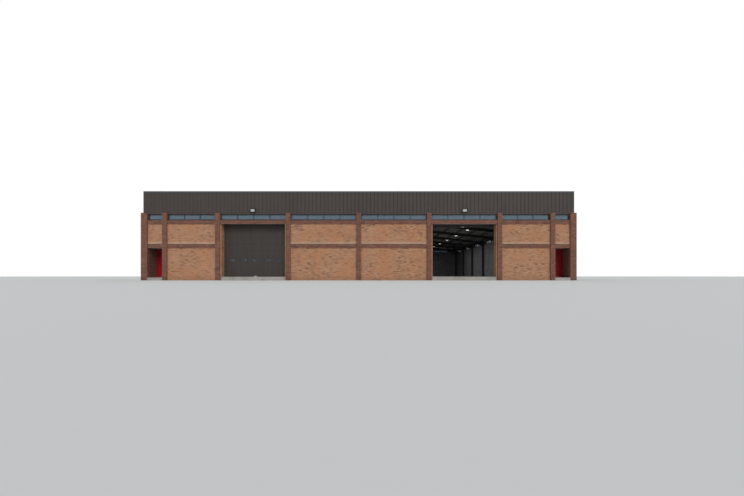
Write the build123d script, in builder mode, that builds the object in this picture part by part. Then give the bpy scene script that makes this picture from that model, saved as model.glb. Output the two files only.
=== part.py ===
from build123d import *
import math
import os

# Twin-bay industrial warehouse, millimetres, +Z up.
# X runs along the front, Y from the front to the back, Z = 0 is the foot of the walls.
# The origin is the middle of the footprint, the floodlights on the front included.

# Bays of the front and back, between pier centres
MAIN_BAY = 5000.0
SIDE_BAY = 3750.0
ENTRY_BAY = 1450.0
# Bays of the two long sides
FRAME_BAY = 5000.0
FRAME_COUNT = 7

# Brickwork
PIER_WIDTH = 330.0
CORNER_PIER = 440.0
PANEL_RECESS = 100.0
BAND_RECESS = 55.0
WALL_THICKNESS = 255.0

# Heights above the foot of the walls
FLOOR_TOP = 250.0
STEP_TOP = 200.0
MID_BAND_FOOT = 2300.0
MID_BAND_HEIGHT = 290.0
DOOR_HEAD = 4000.0
UPPER_BAND_HEIGHT = 280.0
WINDOW_HEIGHT = 420.0
EAVES_BEAM_HEIGHT = 200.0
EAVES_BEAM_LAP = 20.0
PIER_LIP_RISE = 85.0
PIER_LIP_GAP = 10.0
PARAPET_TOP = 6335.0

# High windows
WINDOW_RECESS = 200.0
WINDOW_DEPTH = 60.0
WINDOW_SILL = 60.0
WINDOW_BAR = 40.0
GLASS_THICKNESS = 12.0

# Ribbed cladding of the parapet
CLADDING_RECESS = 120.0
CLADDING_FOOT_GAP = 10.0
RIB_PITCH = 274.0
PLAIN_SIDE_PITCH = 548.0
GROOVE_WIDTH = 70.0
GROOVE_DEPTH = 25.0
SHEET_THICKNESS = 12.0
COPING_THICKNESS = 5.0
COPING_DROP = 100.0
COPING_DEPTH = 260.0
TRIM_LEG = 120.0
RAIL_SIZE = 60.0
RAIL_COUNT = 3
POST_SIZE = 100.0
LENGTH_JOINT = 5.0
ROOF_END_GAP = 10.0

# Steel frame
COLUMN_DEPTH = 254.0
COLUMN_WIDTH = 171.0
FLANGE_THICKNESS = 12.0
WEB_THICKNESS = 8.0
RAFTER_DEPTH = 300.0
HAUNCH_DEPTH = 560.0
HAUNCH_LENGTH = 1500.0
ROOF_PITCH = 6.0
PURLIN_HEIGHT = 180.0
PURLIN_FLANGE = 65.0
PURLIN_THICKNESS = 6.0
PURLINS_PER_SLOPE = 6
PURLIN_GUTTER_GAP = 50.0
ROOF_PANEL = 60.0
RIDGE_GAP = 80.0
RIDGE_WING = 260.0
RIDGE_CAP_THICKNESS = 4.0
GUTTER_COLUMN_GAP = 4.0
GUTTER_DEPTH = 150.0
GUTTER_THICKNESS = 5.0
GUTTER_LAP = 60.0
PARTY_WALL_THICKNESS = 215.0

# Vehicle doorways and their sectional doors
JAMB_NIB = 75.0
JAMB_REACH = 600.0
SECTION_COUNT = 8
SECTION_GAP = 5.0
SECTION_THICKNESS = 42.0
CURTAIN_LAP = 30.0
CURTAIN_CLEARANCE = 25.0
FLOOR_SEAL_GAP = 5.0
HEAD_LAP = 45.0
TRACK_WIDTH = 40.0
TRACK_DEPTH = 55.0
TRACK_WALL = 5.0
TRACK_BEND = 400.0
BEND_FACETS = 8
TRACK_TAIL = 40.0
TRACK_CLEARANCE = 0.3
TRACK_JOINT = 2.0
TRACK_RISE = 60.0
RAISED_DROP = 190.0
SHAFT_DEPTH = 700.0
SHAFT_RISE = 480.0
SHAFT_DIAMETER = 34.0
DRUM_DIAMETER = 160.0
DRUM_WIDTH = 50.0
DRUM_INSET = 80.0
SPRING_DIAMETER = 100.0
SPRING_LENGTH = 900.0
SPRING_START = 120.0
PLATE_SIZE = 160.0
PLATE_SEAT = 120.0
PLATE_THICKNESS = 8.0
HANGER_THICKNESS = 8.0
ROUND_SIDES = 8
PANE_THICKNESS = 20.0
PANE_WIDTH = 420.0
PANE_HEIGHT = 210.0
PANE_COUNT = 5
PANE_SECTION = 2
PANE_PITCH = 857.0

# Entrance recesses
PORCH_DEPTH = 1240.0
CEILING_THICKNESS = 150.0
FRAME_FACE = 60.0
FRAME_THICKNESS = 90.0
LEAF_THICKNESS = 44.0
LEAF_GAP = 5.0
LEAF_FLOOR_GAP = 8.0
FRAME_STOP = 15.0
KNUCKLE_RADIUS = 8.0
KNUCKLE_HEIGHT = 35.0
KNUCKLE_GAP = 0.3
KNUCKLE_SIDES = 8
HINGE_PLATE = 32.0
HINGE_PLATE_THICKNESS = 3.0
HINGE_HEIGHTS = (250.0, 1700.0)
HANDLE_HEIGHT = 1000.0
HANDLE_PLATE = (45.0, 220.0, 6.0)
HANDLE_BAR = (130.0, 20.0, 12.0)
HANDLE_STANDOFF = 32.0
HANDLE_EDGE = 70.0

# Lights
LAMP_WIDTH = 400.0
LAMP_HEIGHT = 260.0
LAMP_THICKNESS = 60.0
LAMP_TILT = 25.0
LAMP_RISE = 240.0
LAMP_REACH = 80.0
LAMP_RIM = 38.0
LAMP_RIM_DEPTH = 22.0
LAMP_TAPER = 25.0
LAMP_PANE = 6.0
BRACKET_WIDTH = 40.0
BRACKET_THICKNESS = 6.0
BAY_LIGHT_DIAMETER = 340.0
BAY_LIGHT_NECK = 120.0
BAY_LIGHT_HEIGHT = 260.0
BAY_LIGHT_SIDES = 8
BAY_LIGHT_PURLIN = 3
BAY_LIGHT_SHIFT = 500.0
BAY_LIGHT_SEAT_GAP = 0.3

# Worked-out sizes
WALL_INNER = PANEL_RECESS + WALL_THICKNESS
HALF_WIDTH = 2 * MAIN_BAY + SIDE_BAY + ENTRY_BAY + CORNER_PIER / 2
END_FRAME_INSET = WALL_INNER + COLUMN_WIDTH / 2
DEPTH = FRAME_COUNT * FRAME_BAY + END_FRAME_INSET
UPPER_BAND_TOP = DOOR_HEAD + UPPER_BAND_HEIGHT
WINDOW_HEAD = UPPER_BAND_TOP + WINDOW_HEIGHT
CLADDING_FOOT = WINDOW_HEAD + CLADDING_FOOT_GAP
COPING_FACE = CLADDING_RECESS - COPING_THICKNESS
FRAME_TOP = WINDOW_HEAD
GUTTER_WIDTH = COLUMN_DEPTH - GUTTER_COLUMN_GAP
FRONT = -(DEPTH + LAMP_REACH) / 2 + LAMP_REACH
PIER_CENTRES = [
    -2 * MAIN_BAY - SIDE_BAY,
    -2 * MAIN_BAY,
    -MAIN_BAY,
    0.0,
    MAIN_BAY,
    2 * MAIN_BAY,
    2 * MAIN_BAY + SIDE_BAY,
]
FRAME_LINES = [END_FRAME_INSET] + [n * FRAME_BAY for n in range(1, FRAME_COUNT + 1)]
SLOPE = math.tan(math.radians(ROOF_PITCH))


class Side:
    """One face of the building: its plan plane, seen from outside, and its piers."""

    def __init__(self, corner, direction, length, piers):
        self.plane = Plane(origin=corner, x_dir=direction, z_dir=(0, 0, 1))
        self.length = length
        self.piers = sorted(piers)
        starts = [CORNER_PIER] + [p + PIER_WIDTH / 2 for p in self.piers]
        ends = [p - PIER_WIDTH / 2 for p in self.piers] + [length - CORNER_PIER]
        self.bays = list(zip(starts, ends))


SIDE_PIERS = [n * FRAME_BAY for n in range(1, FRAME_COUNT)]
FRONT_SIDE = Side(
    (-HALF_WIDTH, FRONT, 0), (1, 0, 0), 2 * HALF_WIDTH, [HALF_WIDTH + x for x in PIER_CENTRES]
)
REAR_SIDE = Side(
    (HALF_WIDTH, FRONT + DEPTH, 0),
    (-1, 0, 0),
    2 * HALF_WIDTH,
    [HALF_WIDTH - x for x in PIER_CENTRES],
)
RIGHT_SIDE = Side((HALF_WIDTH, FRONT, 0), (0, 1, 0), DEPTH, SIDE_PIERS)
LEFT_SIDE = Side(
    (-HALF_WIDTH, FRONT + DEPTH, 0), (0, -1, 0), DEPTH, [DEPTH - y for y in SIDE_PIERS]
)
SIDES = {"front": FRONT_SIDE, "right": RIGHT_SIDE, "rear": REAR_SIDE, "left": LEFT_SIDE}
ENTRY_BAYS = (0, 7)
DOOR_BAYS = (2, 5)
PANEL_BAYS = (1, 3, 4, 6)

os.makedirs("parts", exist_ok=True)


def save(piece, label):
    """Label a finished piece and write it to its own file."""
    piece.part.label = label
    export_step(piece.part, f"parts/{label}.step")


def blocks(plane, rectangles, foot, head, mode=Mode.ADD):
    """Add upright blocks to the open part: plan rectangles (x0, x1, y0, y1) from foot to head."""
    with BuildSketch(plane.offset(foot)) as plan:
        for x0, x1, y0, y1 in rectangles:
            with Locations(((x0 + x1) / 2, (y0 + y1) / 2)):
                Rectangle(x1 - x0, y1 - y0)
    extrude(plan.sketch, amount=head - foot, mode=mode)


def bay_rectangles(side, bays, front, back):
    """Plan rectangles that fill the chosen bays of one side, between two depths."""
    return [(side.bays[n][0], side.bays[n][1], front, back) for n in bays]


def every_bay(side):
    """The numbers of all the bays of one side."""
    return range(len(side.bays))


# Floor slab, with a tongue into each vehicle doorway and a notch round each entrance recess
porch_inner = PIER_CENTRES[-1] - PIER_WIDTH / 2
porch_wall_face = PIER_CENTRES[-1] + PIER_WIDTH / 2
hall_half_width = HALF_WIDTH - WALL_INNER
doorway_half = (MAIN_BAY - PIER_WIDTH) / 2 - JAMB_NIB
doorway_centre = 1.5 * MAIN_BAY
recess_back = PORCH_DEPTH + FRAME_THICKNESS
with BuildPart() as floor_slab:
    with BuildSketch(FRONT_SIDE.plane):
        with Locations((HALF_WIDTH, DEPTH / 2)):
            Rectangle(2 * hall_half_width, DEPTH - 2 * WALL_INNER)
        for centre in (HALF_WIDTH - doorway_centre, HALF_WIDTH + doorway_centre):
            with Locations((centre, (PANEL_RECESS + JAMB_REACH) / 2)):
                Rectangle(2 * doorway_half, JAMB_REACH - PANEL_RECESS)
        for sign in (-1, 1):
            notch_width = hall_half_width - porch_inner
            with Locations((HALF_WIDTH + sign * (porch_inner + notch_width / 2), recess_back / 2)):
                Rectangle(notch_width, recess_back, mode=Mode.SUBTRACT)
            for pier in (MAIN_BAY, 2 * MAIN_BAY):
                toward_door = 1 if pier == MAIN_BAY else -1
                nib_edge = pier + toward_door * (PIER_WIDTH / 2 + JAMB_NIB)
                plain_edge = pier - toward_door * PIER_WIDTH / 2
                middle = HALF_WIDTH + sign * (nib_edge + plain_edge) / 2
                with Locations((middle, JAMB_REACH / 2)):
                    Rectangle(PIER_WIDTH + JAMB_NIB, JAMB_REACH, mode=Mode.SUBTRACT)
    extrude(amount=FLOOR_TOP)
save(floor_slab, "floor_slab")

# Brick panels: below and above the middle band, one block to a bay
with BuildPart() as front_panels:
    blocks(
        FRONT_SIDE.plane,
        bay_rectangles(FRONT_SIDE, PANEL_BAYS, PANEL_RECESS, WALL_INNER),
        0,
        MID_BAND_FOOT,
    )
    blocks(
        FRONT_SIDE.plane,
        bay_rectangles(FRONT_SIDE, PANEL_BAYS + ENTRY_BAYS, PANEL_RECESS, WALL_INNER),
        MID_BAND_FOOT + MID_BAND_HEIGHT,
        DOOR_HEAD,
    )
save(front_panels, "front_panels")

for side_name in ("right", "rear", "left"):
    side = SIDES[side_name]
    with BuildPart() as side_panels:
        panel_plan = bay_rectangles(side, every_bay(side), PANEL_RECESS, WALL_INNER)
        blocks(side.plane, panel_plan, 0, MID_BAND_FOOT)
        blocks(side.plane, panel_plan, MID_BAND_FOOT + MID_BAND_HEIGHT, DOOR_HEAD)
    save(side_panels, f"{side_name}_panels")

# Dark brick bands: one at mid height, one over the panels and doorways
with BuildPart() as brick_bands:
    for side in SIDES.values():
        banded = [n for n in every_bay(side) if side is not FRONT_SIDE or n not in DOOR_BAYS]
        blocks(
            side.plane,
            bay_rectangles(side, banded, BAND_RECESS, WALL_INNER),
            MID_BAND_FOOT,
            MID_BAND_FOOT + MID_BAND_HEIGHT,
        )
        blocks(
            side.plane,
            bay_rectangles(side, every_bay(side), BAND_RECESS, WALL_INNER),
            DOOR_HEAD,
            UPPER_BAND_TOP,
        )
save(brick_bands, "brick_bands")

# Brick piers: full depth up to the eaves beam, with a lip that covers the foot of the cladding
lip_depth = CLADDING_RECESS - PIER_LIP_GAP
with BuildPart() as brick_piers:
    for side in SIDES.values():
        half = PIER_WIDTH / 2
        blocks(side.plane, [(p - half, p + half, 0, WALL_INNER) for p in side.piers], 0, WINDOW_HEAD)
        lips = [(p - half, p + half, 0, lip_depth) for p in side.piers]
        blocks(side.plane, lips, WINDOW_HEAD, WINDOW_HEAD + PIER_LIP_RISE)
save(brick_piers, "brick_piers")

with BuildPart() as corner_piers:
    for side in SIDES.values():
        legs = [(0, CORNER_PIER, 0, WALL_INNER), (0, WALL_INNER, 0, CORNER_PIER)]
        blocks(side.plane, legs, 0, WINDOW_HEAD)
        lip = [(0, CORNER_PIER, 0, lip_depth), (0, lip_depth, 0, CORNER_PIER)]
        blocks(side.plane, lip, WINDOW_HEAD, WINDOW_HEAD + PIER_LIP_RISE)
save(corner_piers, "corner_piers")

# Brick jambs of the vehicle doorways: a nib beside the pier, thickened behind it
with BuildPart() as door_jambs:
    with BuildSketch(FRONT_SIDE.plane):
        for sign in (-1, 1):
            for pier, toward_door in ((MAIN_BAY, 1), (2 * MAIN_BAY, -1)):
                pier_x = HALF_WIDTH + sign * pier
                nib_x = pier_x + sign * toward_door * (PIER_WIDTH + JAMB_NIB) / 2
                with Locations((nib_x, (PANEL_RECESS + JAMB_REACH) / 2)):
                    Rectangle(JAMB_NIB, JAMB_REACH - PANEL_RECESS)
                with Locations((pier_x, (WALL_INNER + JAMB_REACH) / 2)):
                    Rectangle(PIER_WIDTH, JAMB_REACH - WALL_INNER)
    extrude(amount=DOOR_HEAD)
save(door_jambs, "door_jambs")

# High windows: a frame and one sheet of glass in every bay
window_back = WINDOW_RECESS + WINDOW_DEPTH
glass_front = WINDOW_RECESS + (WINDOW_DEPTH - GLASS_THICKNESS) / 2
glass_foot = UPPER_BAND_TOP + WINDOW_SILL
glass_head = WINDOW_HEAD - WINDOW_BAR
with BuildPart() as window_frames:
    for side in SIDES.values():
        frame_plan = bay_rectangles(side, every_bay(side), WINDOW_RECESS, window_back)
        blocks(side.plane, frame_plan, UPPER_BAND_TOP, WINDOW_HEAD)
        clear_plan = [(x0 + WINDOW_BAR, x1 - WINDOW_BAR, y0, y1) for x0, x1, y0, y1 in frame_plan]
        blocks(side.plane, clear_plan, glass_foot, glass_head, Mode.SUBTRACT)
save(window_frames, "window_frames")

with BuildPart() as window_glass:
    for side in SIDES.values():
        glass_plan = [
            (x0 + WINDOW_BAR, x1 - WINDOW_BAR, glass_front, glass_front + GLASS_THICKNESS)
            for x0, x1 in side.bays
        ]
        blocks(side.plane, glass_plan, glass_foot, glass_head)
save(window_glass, "window_glass")

# Eaves beam round the heads of the windows, in four lengths
cladding_back = CLADDING_RECESS + GROOVE_DEPTH + SHEET_THICKNESS
beam_front = cladding_back
beam_back = window_back + EAVES_BEAM_LAP
with BuildPart() as eaves_beams:
    for side in (FRONT_SIDE, REAR_SIDE):
        beam = (beam_front, side.length - beam_front, beam_front, beam_back)
        blocks(side.plane, [beam], WINDOW_HEAD, WINDOW_HEAD + EAVES_BEAM_HEIGHT)
    for side in (LEFT_SIDE, RIGHT_SIDE):
        beam_end = beam_back + LENGTH_JOINT
        beam = (beam_end, side.length - beam_end, beam_front, beam_back)
        blocks(side.plane, [beam], WINDOW_HEAD, WINDOW_HEAD + EAVES_BEAM_HEIGHT)
save(eaves_beams, "eaves_beams")

# Ribbed cladding: flat pans with a V groove between each two, every second one on the other sides


def ribbed_plan(first, last, pitch):
    """Plan outline of a ribbed sheet between two ends: flat back, grooves in the outer face."""
    count = int((last - first) // pitch)
    margin = (last - first - (count - 1) * pitch) / 2
    points = [(first, CLADDING_RECESS)]
    for n in range(count):
        middle = first + margin + n * pitch
        points.append((middle - GROOVE_WIDTH / 2, CLADDING_RECESS))
        points.append((middle, CLADDING_RECESS + GROOVE_DEPTH))
        points.append((middle + GROOVE_WIDTH / 2, CLADDING_RECESS))
    points.append((last, CLADDING_RECESS))
    return points + [(last, cladding_back), (first, cladding_back)]


cladding_top = PARAPET_TOP - COPING_THICKNESS
for side_name, side in SIDES.items():
    end = CLADDING_RECESS if side in (FRONT_SIDE, REAR_SIDE) else cladding_back
    pitch = RIB_PITCH if side is FRONT_SIDE else PLAIN_SIDE_PITCH
    with BuildPart() as fascia:
        with BuildSketch(side.plane.offset(CLADDING_FOOT)):
            with BuildLine():
                Polyline(*ribbed_plan(end, side.length - end, pitch), close=True)
            make_face()
        extrude(amount=cladding_top - CLADDING_FOOT)
    save(fascia, f"{side_name}_fascia")

# Corner trims: a pressed angle over the ends of the ribbed sheets
with BuildPart() as corner_trims:
    for side in SIDES.values():
        angle = [
            (COPING_FACE, COPING_FACE + TRIM_LEG, COPING_FACE, CLADDING_RECESS),
            (COPING_FACE, CLADDING_RECESS, COPING_FACE, COPING_FACE + TRIM_LEG),
        ]
        blocks(side.plane, angle, CLADDING_FOOT, PARAPET_TOP - COPING_DROP)
save(corner_trims, "corner_trims")

# Posts and rails that carry the cladding behind it
post_front = cladding_back + RAIL_SIZE
post_back = post_front + POST_SIZE
beam_top = WINDOW_HEAD + EAVES_BEAM_HEIGHT
rail_span = cladding_top - beam_top - RAIL_SIZE
with BuildPart() as cladding_rails:
    for n in range(RAIL_COUNT):
        rail_foot = beam_top + rail_span * (n + 1) / RAIL_COUNT
        for side in (FRONT_SIDE, REAR_SIDE):
            rail = (cladding_back, side.length - cladding_back, cladding_back, post_front)
            blocks(side.plane, [rail], rail_foot, rail_foot + RAIL_SIZE)
        for side in (LEFT_SIDE, RIGHT_SIDE):
            rail_end = post_front + LENGTH_JOINT
            rail = (rail_end, side.length - rail_end, cladding_back, post_front)
            blocks(side.plane, [rail], rail_foot, rail_foot + RAIL_SIZE)
save(cladding_rails, "cladding_rails")

with BuildPart() as parapet_posts:
    for side in SIDES.values():
        half = POST_SIZE / 2
        posts = [(p - half, p + half, post_front, post_back) for p in side.piers]
        blocks(side.plane, posts, beam_top, cladding_top)
save(parapet_posts, "parapet_posts")

# Coping: a pressed cap over each length of the parapet
coping_back = COPING_FACE + COPING_DEPTH
with BuildPart() as coping:
    for side in SIDES.values():
        long_way = side in (FRONT_SIDE, REAR_SIDE)
        end = COPING_FACE if long_way else coping_back + LENGTH_JOINT
        top_plate = (end, side.length - end, COPING_FACE, coping_back)
        blocks(side.plane, [top_plate], cladding_top, PARAPET_TOP)
        front_leg = (end, side.length - end, COPING_FACE, CLADDING_RECESS)
        blocks(side.plane, [front_leg], PARAPET_TOP - COPING_DROP, cladding_top)
        back_leg = (
            coping_back + LENGTH_JOINT,
            side.length - coping_back - LENGTH_JOINT,
            coping_back - COPING_THICKNESS,
            coping_back,
        )
        blocks(side.plane, [back_leg], PARAPET_TOP - COPING_DROP, cladding_top)
save(coping, "coping")

# Rafters: a haunched pair over each hall, joined at the ridge
span_start = COLUMN_DEPTH / 2
span_end = hall_half_width - COLUMN_DEPTH
ridge_x = hall_half_width / 2


def rafter_top(x):
    """Height of the rafters' top at a distance from the party line."""
    return FRAME_TOP + (ridge_x - abs(x - ridge_x)) * SLOPE


def rafter_outline(inset_top, inset_foot):
    """Elevation of one haunched pair, its top and foot moved in by the given amounts."""
    haunch_in = span_start + HAUNCH_LENGTH
    haunch_out = span_end - HAUNCH_LENGTH
    return [
        (span_start, rafter_top(span_start) - inset_top),
        (ridge_x, rafter_top(ridge_x) - inset_top),
        (span_end, rafter_top(span_end) - inset_top),
        (span_end, rafter_top(span_end) - HAUNCH_DEPTH + inset_foot),
        (haunch_out, rafter_top(haunch_out) - RAFTER_DEPTH + inset_foot),
        (ridge_x, rafter_top(ridge_x) - RAFTER_DEPTH + inset_foot),
        (haunch_in, rafter_top(haunch_in) - RAFTER_DEPTH + inset_foot),
        (span_start, rafter_top(span_start) - HAUNCH_DEPTH + inset_foot),
    ]


frame_planes = [Plane.XZ.offset(-(FRONT + y)) for y in FRAME_LINES]
with BuildPart() as rafters:
    with BuildSketch(*frame_planes):
        with BuildLine():
            Polyline(*rafter_outline(0, 0), close=True)
        make_face()
        with BuildLine():
            Polyline(*rafter_outline(FLANGE_THICKNESS, FLANGE_THICKNESS), close=True)
        make_face(mode=Mode.SUBTRACT)
        mirror(about=Plane.YZ)
    extrude(amount=COLUMN_WIDTH / 2, both=True)
    with BuildSketch(*frame_planes):
        with BuildLine():
            Polyline(*rafter_outline(0, 0), close=True)
        make_face()
        mirror(about=Plane.YZ)
    extrude(amount=WEB_THICKNESS / 2, both=True)
save(rafters, "rafters")


def rafter_foot(x):
    """Height of the rafters' underside at a distance from the party line, haunches included."""
    from_end = min(x - span_start, span_end - x)
    share = max(0, 1 - from_end / HAUNCH_LENGTH)
    return rafter_top(x) - RAFTER_DEPTH - share * (HAUNCH_DEPTH - RAFTER_DEPTH)


# Steel columns: along both long walls and on the party line, with short posts that carry
# the front rafters off the jambs and the recess walls
ceiling_top = MID_BAND_FOOT + CEILING_THICKNESS
column_x = hall_half_width - COLUMN_DEPTH / 2
with BuildPart() as columns:
    with BuildSketch(FRONT_SIDE.plane.offset(FLOOR_TOP)):
        wall_columns = [(HALF_WIDTH + s * column_x, y) for s in (-1, 1) for y in FRAME_LINES[1:]]
        party_columns = [(HALF_WIDTH, y) for y in FRAME_LINES]
        with Locations(*(wall_columns + party_columns)):
            Rectangle(COLUMN_DEPTH, COLUMN_WIDTH)
        pocket = (COLUMN_WIDTH - WEB_THICKNESS) / 2
        pockets = [
            (x, y + t * (COLUMN_WIDTH + WEB_THICKNESS) / 4)
            for x, y in wall_columns + party_columns
            for t in (-1, 1)
        ]
        with Locations(*pockets):
            Rectangle(COLUMN_DEPTH - 2 * FLANGE_THICKNESS, pocket, mode=Mode.SUBTRACT)
    extrude(amount=FRAME_TOP - FLOOR_TOP)
    for x, foot in (
        (MAIN_BAY, DOOR_HEAD),
        (2 * MAIN_BAY, DOOR_HEAD),
        (PIER_CENTRES[-1], ceiling_top),
    ):
        half = POST_SIZE / 2
        head = min(rafter_foot(x - half), rafter_foot(x + half))
        pair = [HALF_WIDTH - x, HALF_WIDTH + x]
        plan = [(c - half, c + half, WALL_INNER, WALL_INNER + POST_SIZE) for c in pair]
        blocks(FRONT_SIDE.plane, plan, foot, head)
save(columns, "columns")

# Purlins: Z-sections along the building, square to each slope
purlin_margin = GUTTER_WIDTH + PURLIN_FLANGE + PURLIN_GUTTER_GAP
purlin_reach = ridge_x - purlin_margin - RIDGE_WING / 2
purlin_offsets = [
    purlin_margin + n * purlin_reach / (PURLINS_PER_SLOPE - 1) for n in range(PURLINS_PER_SLOPE)
]
roof_start = post_back + ROOF_END_GAP
roof_plane = Plane.XZ.offset(-(FRONT + roof_start))
roof_length = DEPTH - 2 * roof_start
slope_seats = [(x, ROOF_PITCH) for x in purlin_offsets]
slope_seats += [(2 * ridge_x - x, -ROOF_PITCH) for x in purlin_offsets]
with BuildPart() as purlins:
    with BuildSketch(roof_plane):
        for x, tilt in slope_seats:
            with Locations(Location((x, rafter_top(x), 0), (0, 0, tilt))):
                Rectangle(PURLIN_THICKNESS, PURLIN_HEIGHT, align=(Align.CENTER, Align.MIN))
                Rectangle(PURLIN_FLANGE, PURLIN_THICKNESS, align=(Align.MIN, Align.MIN))
            with Locations(Location((x, rafter_top(x), 0), (0, 0, tilt))):
                with Locations((0, PURLIN_HEIGHT)):
                    Rectangle(PURLIN_FLANGE, PURLIN_THICKNESS, align=(Align.MAX, Align.MAX))
        mirror(about=Plane.YZ)
    extrude(amount=-roof_length)
save(purlins, "purlins")

# Roof panels on the purlins: two slopes over each hall, apart at the ridge
upright = 1 / math.cos(math.radians(ROOF_PITCH))
panel_foot = PURLIN_HEIGHT * upright
panel_top = panel_foot + ROOF_PANEL * upright
slope_ends = [
    (GUTTER_WIDTH / 2 - GUTTER_LAP, ridge_x - RIDGE_GAP / 2),
    (ridge_x + RIDGE_GAP / 2, hall_half_width - GUTTER_WIDTH + GUTTER_LAP),
]
with BuildPart() as roof_panels:
    with BuildSketch(roof_plane):
        for x0, x1 in slope_ends:
            with BuildLine():
                Polyline(
                    (x0, rafter_top(x0) + panel_foot),
                    (x1, rafter_top(x1) + panel_foot),
                    (x1, rafter_top(x1) + panel_top),
                    (x0, rafter_top(x0) + panel_top),
                    close=True,
                )
            make_face()
        mirror(about=Plane.YZ)
    extrude(amount=-roof_length)
save(roof_panels, "roof_panels")

# Ridge caps: a folded sheet over each gap
with BuildPart() as ridge_caps:
    with BuildSketch(roof_plane):
        cap_rise = RIDGE_CAP_THICKNESS * upright
        wings = (ridge_x - RIDGE_WING, ridge_x, ridge_x + RIDGE_WING)
        under = [(x, rafter_top(x) + panel_top) for x in wings]
        over = [(x, z + cap_rise) for x, z in reversed(under)]
        with BuildLine():
            Polyline(*under, *over, close=True)
        make_face()
        mirror(about=Plane.YZ)
    extrude(amount=-roof_length)
save(ridge_caps, "ridge_caps")

# Gutters: one over the party line, one behind each side parapet
gutter_x = hall_half_width - GUTTER_WIDTH / 2
with BuildPart() as gutters:
    with BuildSketch(roof_plane):
        with Locations((-gutter_x, FRAME_TOP), (0, FRAME_TOP), (gutter_x, FRAME_TOP)):
            Rectangle(GUTTER_WIDTH, GUTTER_DEPTH, align=(Align.CENTER, Align.MIN))
        inner_foot = FRAME_TOP + GUTTER_THICKNESS
        with Locations((-gutter_x, inner_foot), (0, inner_foot), (gutter_x, inner_foot)):
            Rectangle(
                GUTTER_WIDTH - 2 * GUTTER_THICKNESS,
                GUTTER_DEPTH,
                align=(Align.CENTER, Align.MIN),
                mode=Mode.SUBTRACT,
            )
    extrude(amount=-roof_length)
save(gutters, "gutters")

# Party wall: one length of blockwork between each two columns of the party line
with BuildPart() as party_wall:
    thick = PARTY_WALL_THICKNESS / 2
    lengths = [
        (HALF_WIDTH - thick, HALF_WIDTH + thick, y0 + COLUMN_WIDTH / 2, y1 - COLUMN_WIDTH / 2)
        for y0, y1 in zip(FRAME_LINES, FRAME_LINES[1:])
    ]
    blocks(FRONT_SIDE.plane, lengths, FLOOR_TOP, FRAME_TOP)
save(party_wall, "party_wall")

# Entrance recesses: an inner side wall, a ceiling over it and a concrete step between

def both_ends(x0, x1, y0, y1):
    """Plan rectangles of the front side, mirrored, from distances to the party line."""
    return [
        (HALF_WIDTH + x0, HALF_WIDTH + x1, y0, y1),
        (HALF_WIDTH - x1, HALF_WIDTH - x0, y0, y1),
    ]


corner_edge = HALF_WIDTH - CORNER_PIER
with BuildPart() as recess_walls:
    wall_plan = both_ends(porch_inner, porch_wall_face, WALL_INNER, recess_back)
    blocks(FRONT_SIDE.plane, wall_plan, 0, MID_BAND_FOOT)
save(recess_walls, "recess_walls")

with BuildPart() as recess_ceilings:
    ceiling_plan = both_ends(porch_inner, hall_half_width, WALL_INNER, recess_back)
    blocks(FRONT_SIDE.plane, ceiling_plan, MID_BAND_FOOT, ceiling_top)
save(recess_ceilings, "recess_ceilings")

with BuildPart() as entrance_steps:
    tread_plan = both_ends(porch_wall_face, corner_edge, 0, WALL_INNER)
    tread_plan += both_ends(porch_wall_face, hall_half_width, WALL_INNER, recess_back)
    blocks(FRONT_SIDE.plane, tread_plan, 0, STEP_TOP)
save(entrance_steps, "entrance_steps")

# Entrance frames: jambs and head with a stop in front of the leaf, and a threshold
stop_back = recess_back - LEAF_THICKNESS - LEAF_GAP
opening_inner = porch_wall_face + FRAME_FACE
opening_outer = hall_half_width - FRAME_FACE
opening_head = MID_BAND_FOOT - FRAME_FACE
with BuildPart() as entrance_frames:
    frame_plan = both_ends(porch_wall_face, hall_half_width, PORCH_DEPTH, recess_back)
    blocks(FRONT_SIDE.plane, frame_plan, STEP_TOP, MID_BAND_FOOT)
    leaf_space = both_ends(opening_inner, opening_outer, stop_back, recess_back)
    blocks(FRONT_SIDE.plane, leaf_space, FLOOR_TOP, opening_head, Mode.SUBTRACT)
    stop_space = both_ends(
        opening_inner + FRAME_STOP, opening_outer - FRAME_STOP, PORCH_DEPTH, stop_back
    )
    blocks(FRONT_SIDE.plane, stop_space, FLOOR_TOP, opening_head - FRAME_STOP, Mode.SUBTRACT)
save(entrance_frames, "entrance_frames")

# Entrance doors: one leaf each, hung on the outer side and opening inward
leaf_inner = opening_inner + LEAF_GAP
leaf_outer = opening_outer - LEAF_GAP
leaf_front = recess_back - LEAF_THICKNESS
leaf_foot = FLOOR_TOP + LEAF_FLOOR_GAP
leaf_head = opening_head - LEAF_GAP
handle_z = FLOOR_TOP + HANDLE_HEIGHT
hinge_x = opening_outer - LEAF_GAP / 2
hinge_y = recess_back + KNUCKLE_RADIUS


def hinge_half(sign, toward, foot):
    """Add one knuckle and its plate to the open part: toward -1 for the leaf, 1 for the frame."""
    plate_x0, plate_x1 = sorted((hinge_x, hinge_x + toward * (LEAF_GAP / 2 + HINGE_PLATE)))
    plate_edges = sorted((HALF_WIDTH + sign * plate_x0, HALF_WIDTH + sign * plate_x1))
    plate = (*plate_edges, recess_back, recess_back + HINGE_PLATE_THICKNESS)
    blocks(FRONT_SIDE.plane, [plate], foot, foot + KNUCKLE_HEIGHT)
    with BuildSketch(FRONT_SIDE.plane.offset(foot)) as knuckle:
        with Locations((HALF_WIDTH + sign * hinge_x, hinge_y)):
            RegularPolygon(KNUCKLE_RADIUS, KNUCKLE_SIDES)
    extrude(knuckle.sketch, amount=KNUCKLE_HEIGHT)


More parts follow.
